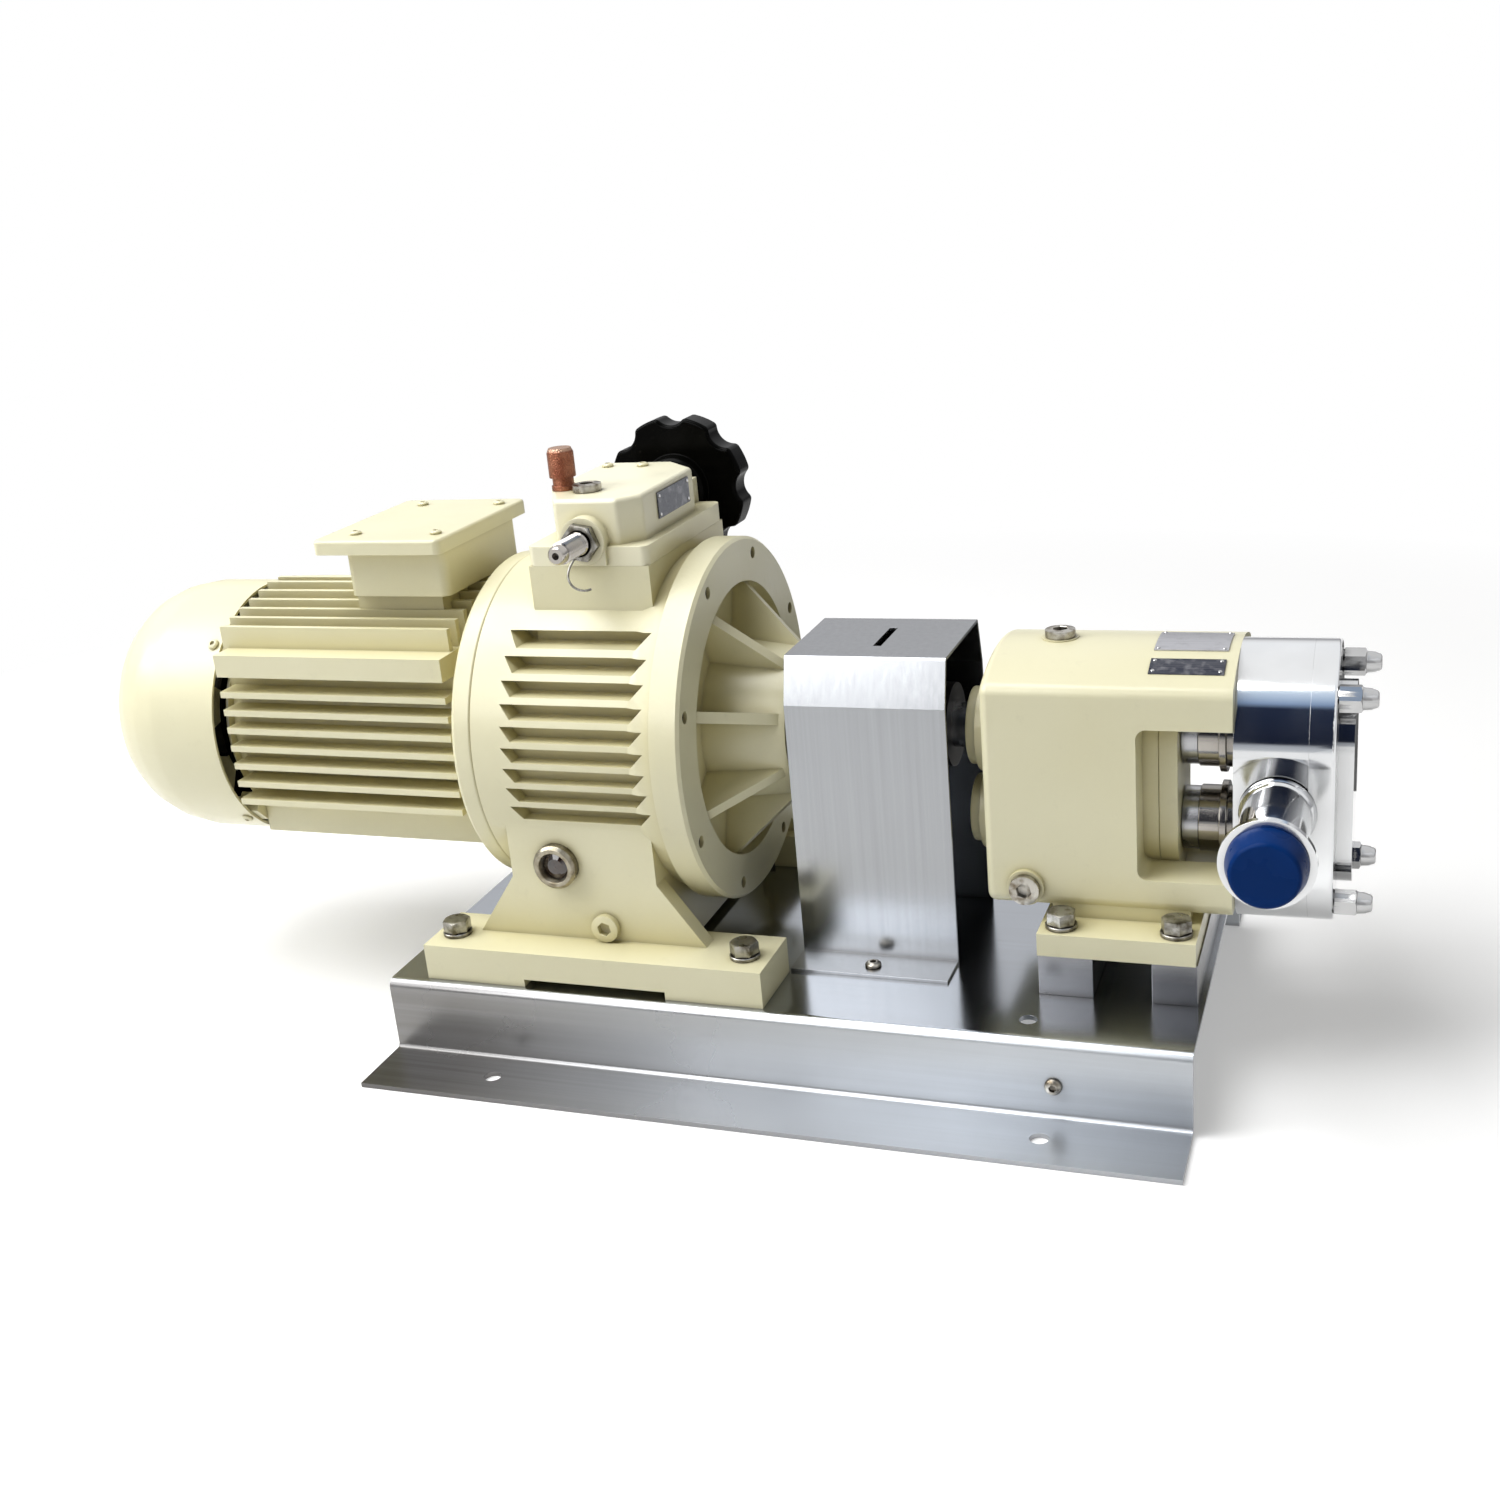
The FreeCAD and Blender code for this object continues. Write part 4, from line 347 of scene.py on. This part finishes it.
def lathe(mesh, rings, matrix, steps=72):
    """Add a closed turned shape to a bmesh. A ring is (radius, height); both may be functions."""
    rows = []
    for radius, height in rings:
        if radius == 0:
            rows.append([mesh.verts.new(matrix @ Vector((0, 0, height)))])
            continue
        row = []
        for index in range(steps):
            angle = 2 * math.pi * index / steps
            z = height(angle) if callable(height) else height
            r = radius(angle, z) if callable(radius) else radius
            row.append(mesh.verts.new(matrix @ Vector((r * math.cos(angle), r * math.sin(angle), z))))
        rows.append(row)
    for lower, upper in zip(rows, rows[1:]):
        for index in range(steps):
            after = (index + 1) % steps
            if len(lower) == 1:
                mesh.faces.new((lower[0], upper[index], upper[after]))
            elif len(upper) == 1:
                mesh.faces.new((lower[index], upper[0], lower[after]))
            else:
                mesh.faces.new((lower[index], lower[after], upper[after], upper[index]))


def wire(mesh, points, radius, steps=12):
    """Add a round wire with closed ends along points in metres."""
    points = [Vector(point) for point in points]
    rows = []
    for index, point in enumerate(points):
        ahead = points[min(index + 1, len(points) - 1)] - points[max(index - 1, 0)]
        turn = Matrix.Translation(point) @ ahead.to_track_quat("Z", "Y").to_matrix().to_4x4()
        row = []
        for step in range(steps):
            angle = 2 * math.pi * step / steps
            row.append(mesh.verts.new(turn @ Vector((radius * math.cos(angle), radius * math.sin(angle), 0))))
        rows.append(row)
    for lower, upper in zip(rows, rows[1:]):
        for index in range(steps):
            after = (index + 1) % steps
            mesh.faces.new((lower[index], lower[after], upper[after], upper[index]))
    mesh.faces.new(rows[0])
    mesh.faces.new(rows[-1])


def curved(start, bend, end, steps=10):
    """Points of a smooth arc from start to end that leans towards bend."""
    start, bend, end = Vector(start), Vector(bend), Vector(end)
    shares = [step / steps for step in range(steps + 1)]
    return [start * (1 - s) ** 2 + bend * 2 * s * (1 - s) + end * s * s for s in shares]


def piece(name, mesh, material, body=STATIC, sharp=32.0):
    """Turn a bmesh into a shown object with smooth faces and sharp corners."""
    bmesh.ops.remove_doubles(mesh, verts=mesh.verts, dist=1e-7)
    bmesh.ops.recalc_face_normals(mesh, faces=mesh.faces)
    for face in mesh.faces:
        face.smooth = True
    for edge in mesh.edges:
        if len(edge.link_faces) == 2 and edge.calc_face_angle() > math.radians(sharp):
            edge.smooth = False
    data = bpy.data.meshes.new(name)
    mesh.to_mesh(data)
    mesh.free()
    made = bpy.data.objects.new(name, data)
    bpy.context.collection.objects.link(made)
    made.data.materials.append(material)
    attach(made, body)
    return made


def islands(node):
    """Lowest and highest corner of each separate solid in a CAD node, in order along X then Y."""
    mesh = bmesh.new()
    mesh.from_mesh(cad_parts[node].data)
    bmesh.ops.remove_doubles(mesh, verts=mesh.verts, dist=SAME_SPOT)
    seen, found = set(), []
    for start in mesh.verts:
        if start in seen:
            continue
        stack, group = [start], []
        seen.add(start)
        while stack:
            vert = stack.pop()
            group.append(vert.co.copy())
            for edge in vert.link_edges:
                other = edge.other_vert(vert)
                if other not in seen:
                    seen.add(other)
                    stack.append(other)
        low = Vector([min(point[axis] for point in group) for axis in range(3)])
        high = Vector([max(point[axis] for point in group) for axis in range(3)])
        found.append((low, high))
    mesh.free()
    return sorted(found, key=lambda pair: (round(pair[0].x, 4), round(pair[0].y, 4), round(pair[0].z, 4)))


def facing(spot, direction, spin=0.0):
    """A matrix that stands local Z along a direction at a spot."""
    turn = Vector(direction).to_track_quat("Z", "Y").to_matrix().to_4x4()
    return Matrix.Translation(Vector(spot)) @ turn @ Matrix.Rotation(math.radians(spin), 4, "Z")


# Fasteners

def hex_bolt(mesh, matrix, flats, head, washer, shank, length):
    """Head with a chamfered crown on a washer, with its shank below."""
    wide, ease, bedded = flats * 1.2, 0.4 * MM, 0.1 * MM
    washer_rings = [(0, -bedded), (wide - ease, -bedded), (wide, ease), (wide, washer - ease),
                    (wide - ease, washer), (0, washer)]
    lathe(mesh, washer_rings, matrix)
    crown, top = flats * 0.96, washer + head
    head_rings = [(0, washer), (flats * 0.97, washer), (hexagon(flats * 0.985), washer + 0.3 * MM),
                  (hexagon(flats), washer + 0.8 * MM), (hexagon(flats), chamfered(flats, top, crown)),
                  (crown * 0.985, top), (crown * 0.80, top + 0.1 * MM), (0, top)]
    lathe(mesh, head_rings, matrix)
    point = 0.8 * MM
    shank_rings = [(0, -length), (shank - point, -length), (shank, point - length), (shank, 0.0), (0, 0.0)]
    lathe(mesh, shank_rings, matrix)


def foot_bolts(node, name, material, turns):
    """Hexagon bolts of the feet. turns are the heads' angles in degrees."""
    mesh = bmesh.new()
    washer, head, flats, shank = 2.5 * MM, 8.0 * MM, 7.8 * MM, 5.0 * MM
    for (low, high), spin in zip(islands(node), turns):
        middle = (low + high) / 2
        seat = high.z - washer - head
        spot = (middle.x, middle.y, seat)
        hex_bolt(mesh, facing(spot, (0, 0, 1), spin), flats, head, washer, shank, seat - low.z)
    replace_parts(piece(name, mesh, material), node)


def cap_nuts(material):
    """Tall closed nuts on the pump cover's studs: a hexagon, a cone and a blunt end."""
    mesh = bmesh.new()
    flats, hex_height = 7.2 * MM, 12.5 * MM
    for (low, high), spin in zip(islands("cover_nuts"), (8, 21, 35, 52)):
        spot = (low.x, (low.y + high.y) / 2, (low.z + high.z) / 2)
        tip = high.x - low.x
        crown = flats * 0.97
        rings = [(0, 0), (crown, 0), (hexagon(flats), 0.6 * MM),
                 (hexagon(flats), chamfered(flats, hex_height, crown)), (6.5 * MM, hex_height + 0.2 * MM),
                 (6.3 * MM, hex_height + 0.8 * MM), (5.9 * MM, tip - 3.6 * MM), (5.5 * MM, tip - 3.0 * MM),
                 (4.9 * MM, tip - 1.0 * MM), (4.3 * MM, tip - 0.3 * MM), (3.4 * MM, tip), (0, tip)]
        lathe(mesh, rings, facing(spot, (1, 0, 0), spin))
    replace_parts(piece("cap_nuts", mesh, material), "cover_nuts")


def threaded_spindle(material):
    """Control spindle with its collar and fine thread, and a centre hole in the tip."""
    mesh = bmesh.new()
    low, high = islands("control_spindle")[0]
    radius, tail, tip = SPINDLE_R, -high.y, -low.y
    collar_radius, collar_start, collar_end = 10.0 * MM, 41.0 * MM, 43.7 * MM
    turns, lead, start = 11, 2.0 * MM, tip - 29.0 * MM
    rings = [(0, tail), (radius - 1.0 * MM, tail), (radius, tail + 1.0 * MM), (radius, collar_start),
             (collar_radius, collar_start), (collar_radius, collar_end), (radius, collar_end),
             (radius, start - 1.0 * MM), (radius - 0.8 * MM, start)]
    for turn in range(turns):
        foot = start + turn * lead
        rings += [(radius - 1.3 * MM, foot + 0.7 * MM), (radius - 0.25 * MM, foot + 1.5 * MM),
                  (radius - 0.25 * MM, foot + 1.8 * MM)]
    neck = radius - 1.2 * MM
    rings += [(neck, start + turns * lead + 0.5 * MM), (neck, tip - 2.0 * MM),
              (neck - 0.5 * MM, tip - 0.8 * MM), (neck - 1.3 * MM, tip), (2.2 * MM, tip),
              (2.0 * MM, tip - 0.4 * MM), (2.0 * MM, tip - 5.5 * MM), (0, tip - 6.0 * MM)]
    lathe(mesh, rings, facing(SPINDLE_SPOT, (0, -1, 0)), 48)
    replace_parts(piece("threaded_spindle", mesh, material, "speed_spindle", 25.0), "control_spindle")


def gland_nut(material):
    """Hexagon nut round the control spindle."""
    mesh = bmesh.new()
    low, high = islands("spindle_gland")[0]
    flats, thick, bore = 10.5 * MM, high.y - low.y, SPINDLE_R + 0.3 * MM
    crown = chamfered(flats, thick, flats * 0.98)
    rings = [(bore, 0), (hexagon(flats), 0), (hexagon(flats), crown), (flats * 0.97, thick),
             (bore + 1.0 * MM, thick), (bore, thick - 1.0 * MM), (bore, 0)]
    seat = (SPINDLE_SPOT[0], high.y, SPINDLE_SPOT[2])
    lathe(mesh, rings, facing(seat, (0, -1, 0), 20))
    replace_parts(piece("gland_nut", mesh, material), "spindle_gland")


def locking_wire(material):
    """Bent wire that hangs from the gland beside the spindle."""
    mesh = bmesh.new()
    x, front, z = SPINDLE_SPOT[0], islands("spindle_gland")[0][0].y, SPINDLE_SPOT[2]

    def beside(right, forward, down):
        return x + right * MM, front - forward * MM, z - down * MM

    hook = curved(beside(-3.5, -1.0, 8.8), beside(-7.5, 12.0, 17.0), beside(-1.5, 10.0, 24.0))
    tail = curved(hook[-1], beside(3.0, 8.5, 28.0), beside(7.5, 5.0, 26.5))
    wire(mesh, hook + tail[1:], 0.75 * MM)
    piece("locking_wire", mesh, material)


def plate_pins(material):
    """Drive pins at the corners of the rating plates."""
    mesh = bmesh.new()
    inset, radius, height = 2.3 * MM, 1.2 * MM, 0.7 * MM
    dome = [(0, -radius), (radius, -radius), (radius, 0.2 * height),
            (radius * 0.75, 0.75 * height), (0, height)]
    for low, high in islands("blank_plates"):
        across = (low.y + inset, high.y - inset)
        if high.x < 0:
            placed = [((high.x, y, z), (1, 0, 0)) for y in across for z in (low.z + inset, high.z - inset)]
        else:
            placed = []
            for x in (low.x + inset, high.x - inset):
                for y in across:
                    drop = CROWN_R - math.sqrt(CROWN_R ** 2 - y ** 2)
                    placed.append(((x, y, PLATE_TOP - drop), (0, y, CROWN_R - drop)))
        for spot, direction in placed:
            lathe(mesh, dome, facing(spot, direction), 20)
    piece("plate_pins", mesh, material)


def socket_head(mesh, matrix, radius, height, socket, depth, dome=0.0):
    """Round head with a hexagonal socket. dome is how far the crown rises over the rim."""
    ease = min(0.4 * MM, height * 0.2)
    rings = [(0, 0), (radius - ease, 0), (radius, ease), (radius, height - dome - ease)]
    for share in (0.15, 0.45, 0.75, 1.0):
        rings.append((radius * (1 - 0.42 * share * share), height - dome + dome * share))
    rings += [(hexagon(socket * 1.06), height), (hexagon(socket), height - 0.3 * MM),
              (hexagon(socket), height - depth), (0, height - depth - socket * 0.3)]
    lathe(mesh, rings, matrix)


def shank(mesh, matrix, radius, length):
    """Plain shank with a pointed end below a screw's head."""
    rings = [(0, -length), (radius * 0.8, -length), (radius, radius * 0.2 - length), (radius, 0), (0, 0)]
    lathe(mesh, rings, matrix)


def plugs(metal, painted):
    """Socket plugs of the oil rooms, upright or facing -Y. The drain plug is painted over."""
    mesh = bmesh.new()
    height = 5.0 * MM
    for low, high in islands("oil_plugs"):
        earlier = len(mesh.faces)
        middle = (low + high) / 2
        upright = high.z - low.z < high.x - low.x - 1.0 * MM
        if upright:
            matrix = facing((middle.x, middle.y, high.z - height), (0, 0, 1), 12)
        else:
            matrix = facing((middle.x, low.y + height, middle.z), (0, -1, 0), 12)
        socket_head(mesh, matrix, 9.0 * MM, height, socket=4.0 * MM, depth=3.8 * MM, dome=0.6 * MM)
        shank(mesh, matrix, 6.4 * MM, 5.8 * MM if upright else 8.8 * MM)
        if middle.x < 0 and not upright:
            mesh.faces.ensure_lookup_table()
            for face in mesh.faces[earlier:]:
                face.material_index = 1
    made = piece("socket_plugs", mesh, metal)
    made.data.materials.append(painted)
    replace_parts(made, "oil_plugs")


def button_screws(material):
    """Round-headed screws of the guard, and the earth screw in the base's front."""
    mesh = bmesh.new()
    height = 3.2 * MM
    for low, high in islands("base_screws"):
        middle = (low + high) / 2
        upright = abs(high.x - low.x - (high.y - low.y)) < 0.5 * MM
        if upright:
            matrix = facing((middle.x, middle.y, high.z - height), (0, 0, 1), 20)
        else:
            matrix = facing((middle.x, low.y + height, middle.z), (0, -1, 0), 20)
        socket_head(mesh, matrix, 5.0 * MM, height, socket=1.9 * MM, depth=1.9 * MM, dome=1.9 * MM)
        shank(mesh, matrix, 2.9 * MM, 9.8 * MM if upright else 7.8 * MM)
    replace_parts(piece("button_screws", mesh, material), "base_screws")


def flange_screws(material):
    """Socket screws sunk in the output cover's face."""
    mesh = bmesh.new()
    for low, high in islands("output_cover_screws"):
        matrix = facing((low.x, (low.y + high.y) / 2, (low.z + high.z) / 2), (1, 0, 0))
        socket_head(mesh, matrix, 3.5 * MM, 6.0 * MM, socket=1.8 * MM, depth=3.2 * MM, dome=0.4 * MM)
    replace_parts(piece("flange_screws", mesh, material), "output_cover_screws")


def lid_screws(material):
    """Pan-head screws with a small hexagonal recess: terminal box, control box and fan cowl."""
    mesh = bmesh.new()
    height = 2.4 * MM
    for low, high in islands("small_screws"):
        middle = (low + high) / 2
        size = high - low
        if abs(size.x - size.y) < 0.2 * MM:
            spot, direction = Vector((middle.x, middle.y, high.z - height)), (0, 0, 1)
            depth = size.z - height
        else:
            direction = Vector((0, middle.y, middle.z - SHAFT_Z)).normalized()
            spot = Vector((middle.x, 0, SHAFT_Z)) + direction * COWL_R
            depth = 11.8 * MM
        matrix = facing(spot, direction, 25)
        socket_head(mesh, matrix, 3.8 * MM, height, socket=1.5 * MM, depth=1.4 * MM, dome=1.3 * MM)
        shank(mesh, matrix, 1.95 * MM, depth)
    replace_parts(piece("pan_screws", mesh, material), "small_screws")


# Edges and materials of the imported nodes

def dress(node, material, round_off=0.0, angle=FLATTEST_CORNER):
    """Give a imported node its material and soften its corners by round_off metres.

    Corners flatter than angle, in degrees, are shaded as smooth.
    """
    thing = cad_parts[node]
    thing.data.materials.clear()
    thing.data.materials.append(material)
    if not round_off:
        return
    weld = thing.modifiers.new("weld", "WELD")
    weld.merge_threshold = SAME_SPOT
    flat = thing.modifiers.new("flat", "DECIMATE")
    flat.decimate_type = "DISSOLVE"
    flat.angle_limit = math.radians(SAME_PLANE)
    soft = thing.modifiers.new("soft", "BEVEL")
    soft.width = round_off
    soft.segments = CORNER_STEPS
    soft.limit_method = "ANGLE"
    soft.angle_limit = math.radians(angle)
    even = thing.modifiers.new("even", "WEIGHTED_NORMAL")
    even.mode = "FACE_AREA"
    even.weight = LARGE_FACE_WEIGHT


# Paints and metals

cast_paint = paint("cast_cream_paint", 0.00035)
sheet_paint = paint("sheet_cream_paint", 0.00008)
# A paler copy of the cream paint for the control box: painted light, for the brighter light on it
painted_light_cream = paint("cream_paint_painted_light", 0.00035, (0.92, 0.89, 0.68), (0.89, 0.855, 0.64))
base_metal = base_steel()
riser_metal = brushed("riser_stainless", (0.33, 0.33, 0.34), 0.18, 0.28)
guard_metal = brushed("guard_stainless", (0.37, 0.38, 0.395), 0.20, 0.26, (320.0, 320.0, 3.0))
seal_metal = polished_steel("seal_steel", (0.50, 0.47, 0.43), 0.08, 0.18, 0.030)
mirror_metal = polished_steel("polished_stainless", depth=0.030)
# Near-black hub metal: painted shade, so the inside of the coupling guard reads as shaded
hub_iron_painted_dark = brushed("hub_iron_painted_shade", (0.020, 0.019, 0.018), 0.4, 0.55)
bolt_metal = zinc_steel()
shaft_metal = brushed("ground_steel", (0.46, 0.46, 0.47), 0.2, 0.35, (260.0, 3.0, 3.0))
dark_metal = brushed("laminated_steel", (0.20, 0.20, 0.21), 0.35, 0.5, (900.0, 2.0, 2.0))
nut_metal = polished_steel("bright_nut_steel", (0.56, 0.56, 0.56), 0.10, 0.2)
black_plastic = moulded("black_phenolic", (0.0015, 0.0015, 0.0012), 0.20, 0.32, shine=0.035)
blue_plastic = moulded("blue_polyethylene", (0.0015, 0.026, 0.135), 0.26, 0.36, 500.0, 0.00006, shine=0.06)
rubber = moulded("nitrile_rubber", (0.020, 0.020, 0.020), 0.55, 0.7, shine=0.3)
copper_wire = brushed("enamelled_copper", (0.50, 0.22, 0.08), 0.25, 0.4, (5.0, 700.0, 700.0))
bare_plate = plate_metal()
old_bolt_metal = zinc_steel("weathered_zinc_steel", (0.36, 0.35, 0.32), (0.10, 0.09, 0.07))
# Dark steel for the screws sunk in the output cover: painted shade, for the shade in their holes
sunk_screw_painted_shade = zinc_steel("sunk_screw_steel_painted_shade", (0.13, 0.11, 0.08), (0.05, 0.04, 0.03))
sight_metal = zinc_steel("sight_ring_steel", (0.34, 0.31, 0.24), (0.17, 0.14, 0.09))
bronze_metal = bronze()
glass = oil_glass()

# Material, rounding of the corners in metres, and the nodes that have them
FINISHES = (
    (cast_paint, 0.0008, ("motor_frame", "motor_end_shields", "variator_housing", "input_flange",
                          "output_cover", "pump_housing", "rear_bearing_caps", "front_bearing_plate")),
    # The control box takes the paler copy of the cream paint, which is painted light
    (painted_light_cream, 0.0008, ("control_box",)),
    (sheet_paint, 0.0005, ("fan_cowl", "terminal_box", "terminal_box_lid")),
    (base_metal, 0.0004, ("base_plate",)),
    (riser_metal, 0.0004, ("riser_bars",)),
    (seal_metal, 0.0004, ("shaft_seals",)),
    (mirror_metal, 0.0005, ("rotor_casing", "front_cover", "drive_rotor", "driven_rotor",
                            "drive_rotor_nut", "driven_rotor_nut", "cover_studs")),
    (sight_metal, 0.0003, ("sight_glass_ring",)),
    (shaft_metal, 0.0, ("motor_shaft", "sun_discs", "planet_discs", "race_rings", "output_carrier",
                        "drive_shaft", "driven_shaft", "drive_gear", "driven_gear", "spindle_nut",
                        "cam_ring", "rolling_bearings")),
    # The coupling hubs are near-black as painted shade inside the guard
    (hub_iron_painted_dark, 0.0, ("coupling_hubs",)),
    (dark_metal, 0.0, ("motor_rotor_core", "stator_core")),
    (copper_wire, 0.0, ("stator_windings",)),
    (bronze_metal, 0.0002, ("breather",)),
    (black_plastic, 0.0006, ("handwheel", "cable_gland")),
    (black_plastic, 0.0, ("cooling_fan", "terminal_block")),
    (blue_plastic, 0.0005, ("port_cap_front", "port_cap_rear")),
    (rubber, 0.0, ("coupling_spider", "cover_seal")),
    (glass, 0.0, ("sight_glass_window",)),
    (bare_plate, 0.0001, ("blank_plates",)),
)
for material, round_off, nodes in FINISHES:
    for node in nodes:
        dress(node, material, round_off)
dress("coupling_guard", guard_metal, 0.0006, angle=12.0)

foot_bolts("variator_foot_bolts", "variator_hex_bolts", old_bolt_metal, (10, 24, 41, 3))
foot_bolts("pump_foot_bolts", "pump_hex_bolts", old_bolt_metal, (5, 33, 18, 47))
cap_nuts(nut_metal)
threaded_spindle(seal_metal)
gland_nut(old_bolt_metal)
locking_wire(old_bolt_metal)
plate_pins(nut_metal)
plugs(bolt_metal, cast_paint)
button_screws(bolt_metal)
# These screws are coloured dark as painted shade of their holes
flange_screws(sunk_screw_painted_shade)
lid_screws(sheet_paint)


# Floor, light and camera

def flat(name, corners, material):
    """A four-cornered sheet that belongs to the setting."""
    mesh = bmesh.new()
    mesh.faces.new([mesh.verts.new(corner) for corner in corners])
    data = bpy.data.meshes.new(name)
    mesh.to_mesh(data)
    mesh.free()
    made = bpy.data.objects.new(name, data)
    bpy.context.collection.objects.link(made)
    data.materials.append(material)
    return made


def floor():
    """Matt pale ground that fades to plain white away from the unit."""
    look = Look("pale_floor")
    light = look.node("LightPath").outputs
    rays = {0: light["Is Camera Ray"], 1: light["Is Glossy Ray"]}
    seen = look.node("Math", rays, operation="MAXIMUM").outputs[0]
    rays = {0: seen, 1: light["Is Transmission Ray"]}
    seen = look.node("Math", rays, operation="MAXIMUM").outputs[0]
    distance = look.node("VectorMath", {0: look.place, 1: MIDDLE}, operation="DISTANCE").outputs["Value"]
    lift = look.node("Emission", {"Color": WHITE, "Strength": look.times(seen, FLOOR_LIFT)})
    matt = look.node("BsdfDiffuse", {"Color": (0.80, 0.80, 0.80)})
    near = look.node("AddShader", {0: matt.outputs[0], 1: lift.outputs[0]})
    white = look.node("Emission", {"Color": WHITE, "Strength": 1.0})
    fade = look.times(look.spread(distance, FADE_START, FADE_END), seen)
    ground = look.node("MixShader", {0: fade, 1: near.outputs[0], 2: white.outputs[0]})
    look.links.new(ground.outputs[0], look.nodes["Material Output"].inputs["Surface"])
    signs = ((-1, -1), (1, -1), (1, 1), (-1, 1))
    flat("floor", [(x * FLOOR_REACH, y * FLOOR_REACH, FLOOR_LEVEL) for x, y in signs], look.material)


def card(name, corners, colour, low, high):
    """A sheet outside the picture that only shiny surfaces mirror. low and high limit its glow."""
    look = Look(name)
    folds = look.spread(look.noise(7.0, 3.0), 0.3, 0.7, low, high)
    glow = look.node("Emission", {"Color": colour, "Strength": folds})
    look.links.new(glow.outputs[0], look.nodes["Material Output"].inputs["Surface"])
    made = flat(name, corners, look.material)
    made.visible_camera = False
    made.visible_diffuse = False
    made.visible_shadow = False
    made.visible_transmission = False


def studio():
    """White all round for the camera, a dimmer room for matt faces and a banded one for mirrors."""
    world = bpy.data.worlds.new("studio")
    bpy.context.scene.world = world
    world.use_nodes = True
    nodes, links = world.node_tree.nodes, world.node_tree.links
    back = nodes["Background"]
    light = nodes.new("ShaderNodeLightPath")
    parts = nodes.new("ShaderNodeSeparateXYZ")
    links.new(nodes.new("ShaderNodeTexCoord").outputs["Generated"], parts.inputs[0])

    def ramp(value, stops):
        made = nodes.new("ShaderNodeValToRGB")
        links.new(value, made.inputs[0])
        while len(made.color_ramp.elements) < len(stops):
            made.color_ramp.elements.new(0.5)
        for element, (position, colour) in zip(made.color_ramp.elements, stops):
            element.position = position
            element.color = (*colour, 1.0)
        return made.outputs["Color"]

    def ranged(value, low, high):
        made = nodes.new("ShaderNodeMapRange")
        links.new(value, made.inputs["Value"])
        made.inputs["From Min"].default_value = low
        made.inputs["From Max"].default_value = high
        return made.outputs["Result"]

    def mixed(factor, first, second):
        made = nodes.new("ShaderNodeMix")
        made.data_type = "RGBA"
        for index, value in ((0, factor), (6, first), (7, second)):
            if isinstance(value, tuple):
                made.inputs[index].default_value = (*value, 1.0)
            else:
                links.new(value, made.inputs[index])
        return made.outputs[2]

    climb = parts.outputs["Z"]
    gap = ramp(ranged(parts.outputs["X"], -1.0, 1.0), DARK_GAP)
    front = mixed(gap, ramp(climb, DARK_FRONT), ramp(climb, PALE_FRONT))
    mirrored = mixed(ranged(parts.outputs["Y"], -0.15, 0.15), front, ramp(climb, REAR))
    matt = mixed(ranged(parts.outputs["X"], -0.5, 0.6), LEFT_LIGHT, RIGHT_LIGHT)
    unseen = mixed(light.outputs["Is Glossy Ray"], matt, mirrored)
    links.new(mixed(light.outputs["Is Camera Ray"], unseen, WHITE), back.inputs["Color"])
    back.inputs["Strength"].default_value = 1.0


def lamp(name, spot, target, power, width, height):
    """A soft lamp that shines from spot to target."""
    data = bpy.data.lights.new(name, "AREA")
    data.shape = "RECTANGLE"
    data.size = width
    data.size_y = height
    data.energy = power
    made = bpy.data.objects.new(name, data)
    made.location = spot
    made.rotation_euler = (Vector(target) - Vector(spot)).to_track_quat("-Z", "Y").to_euler()
    bpy.context.collection.objects.link(made)
    return made


def camera():
    """The photograph's view."""
    yaw, pitch, roll = (math.radians(angle) for angle in (CAMERA_YAW, CAMERA_PITCH, CAMERA_ROLL))
    ahead = Vector((-math.sin(yaw) * math.cos(pitch), math.cos(yaw) * math.cos(pitch), math.sin(pitch)))
    level = Vector((math.cos(yaw), math.sin(yaw), 0.0))
    upward = level.cross(ahead)
    right = math.cos(roll) * level + math.sin(roll) * upward
    top = -math.sin(roll) * level + math.cos(roll) * upward
    turn = Matrix((right, top, -ahead)).transposed().to_4x4()
    data = bpy.data.cameras.new("camera")
    data.lens = CAMERA_LENS
    data.sensor_width = CAMERA_SENSOR
    data.clip_end = 100.0
    made = bpy.data.objects.new("camera", data)
    made.matrix_world = Matrix.Translation(Vector(CAMERA_SPOT)) @ turn
    bpy.context.collection.objects.link(made)
    bpy.context.scene.camera = made


floor()
card("room_behind", [(-1.0, 0.40, 0.0), (0.8, 0.40, 0.0), (0.8, 0.40, 0.15), (-1.0, 0.40, 0.15)],
     (0.12, 0.12, 0.12), 0.7, 1.3)
studio()
lamps = {name: lamp(name, *values) for name, *values in LAMPS}
lamps["window"].visible_diffuse = False
camera()
bpy.context.scene.view_settings.view_transform = "Standard"
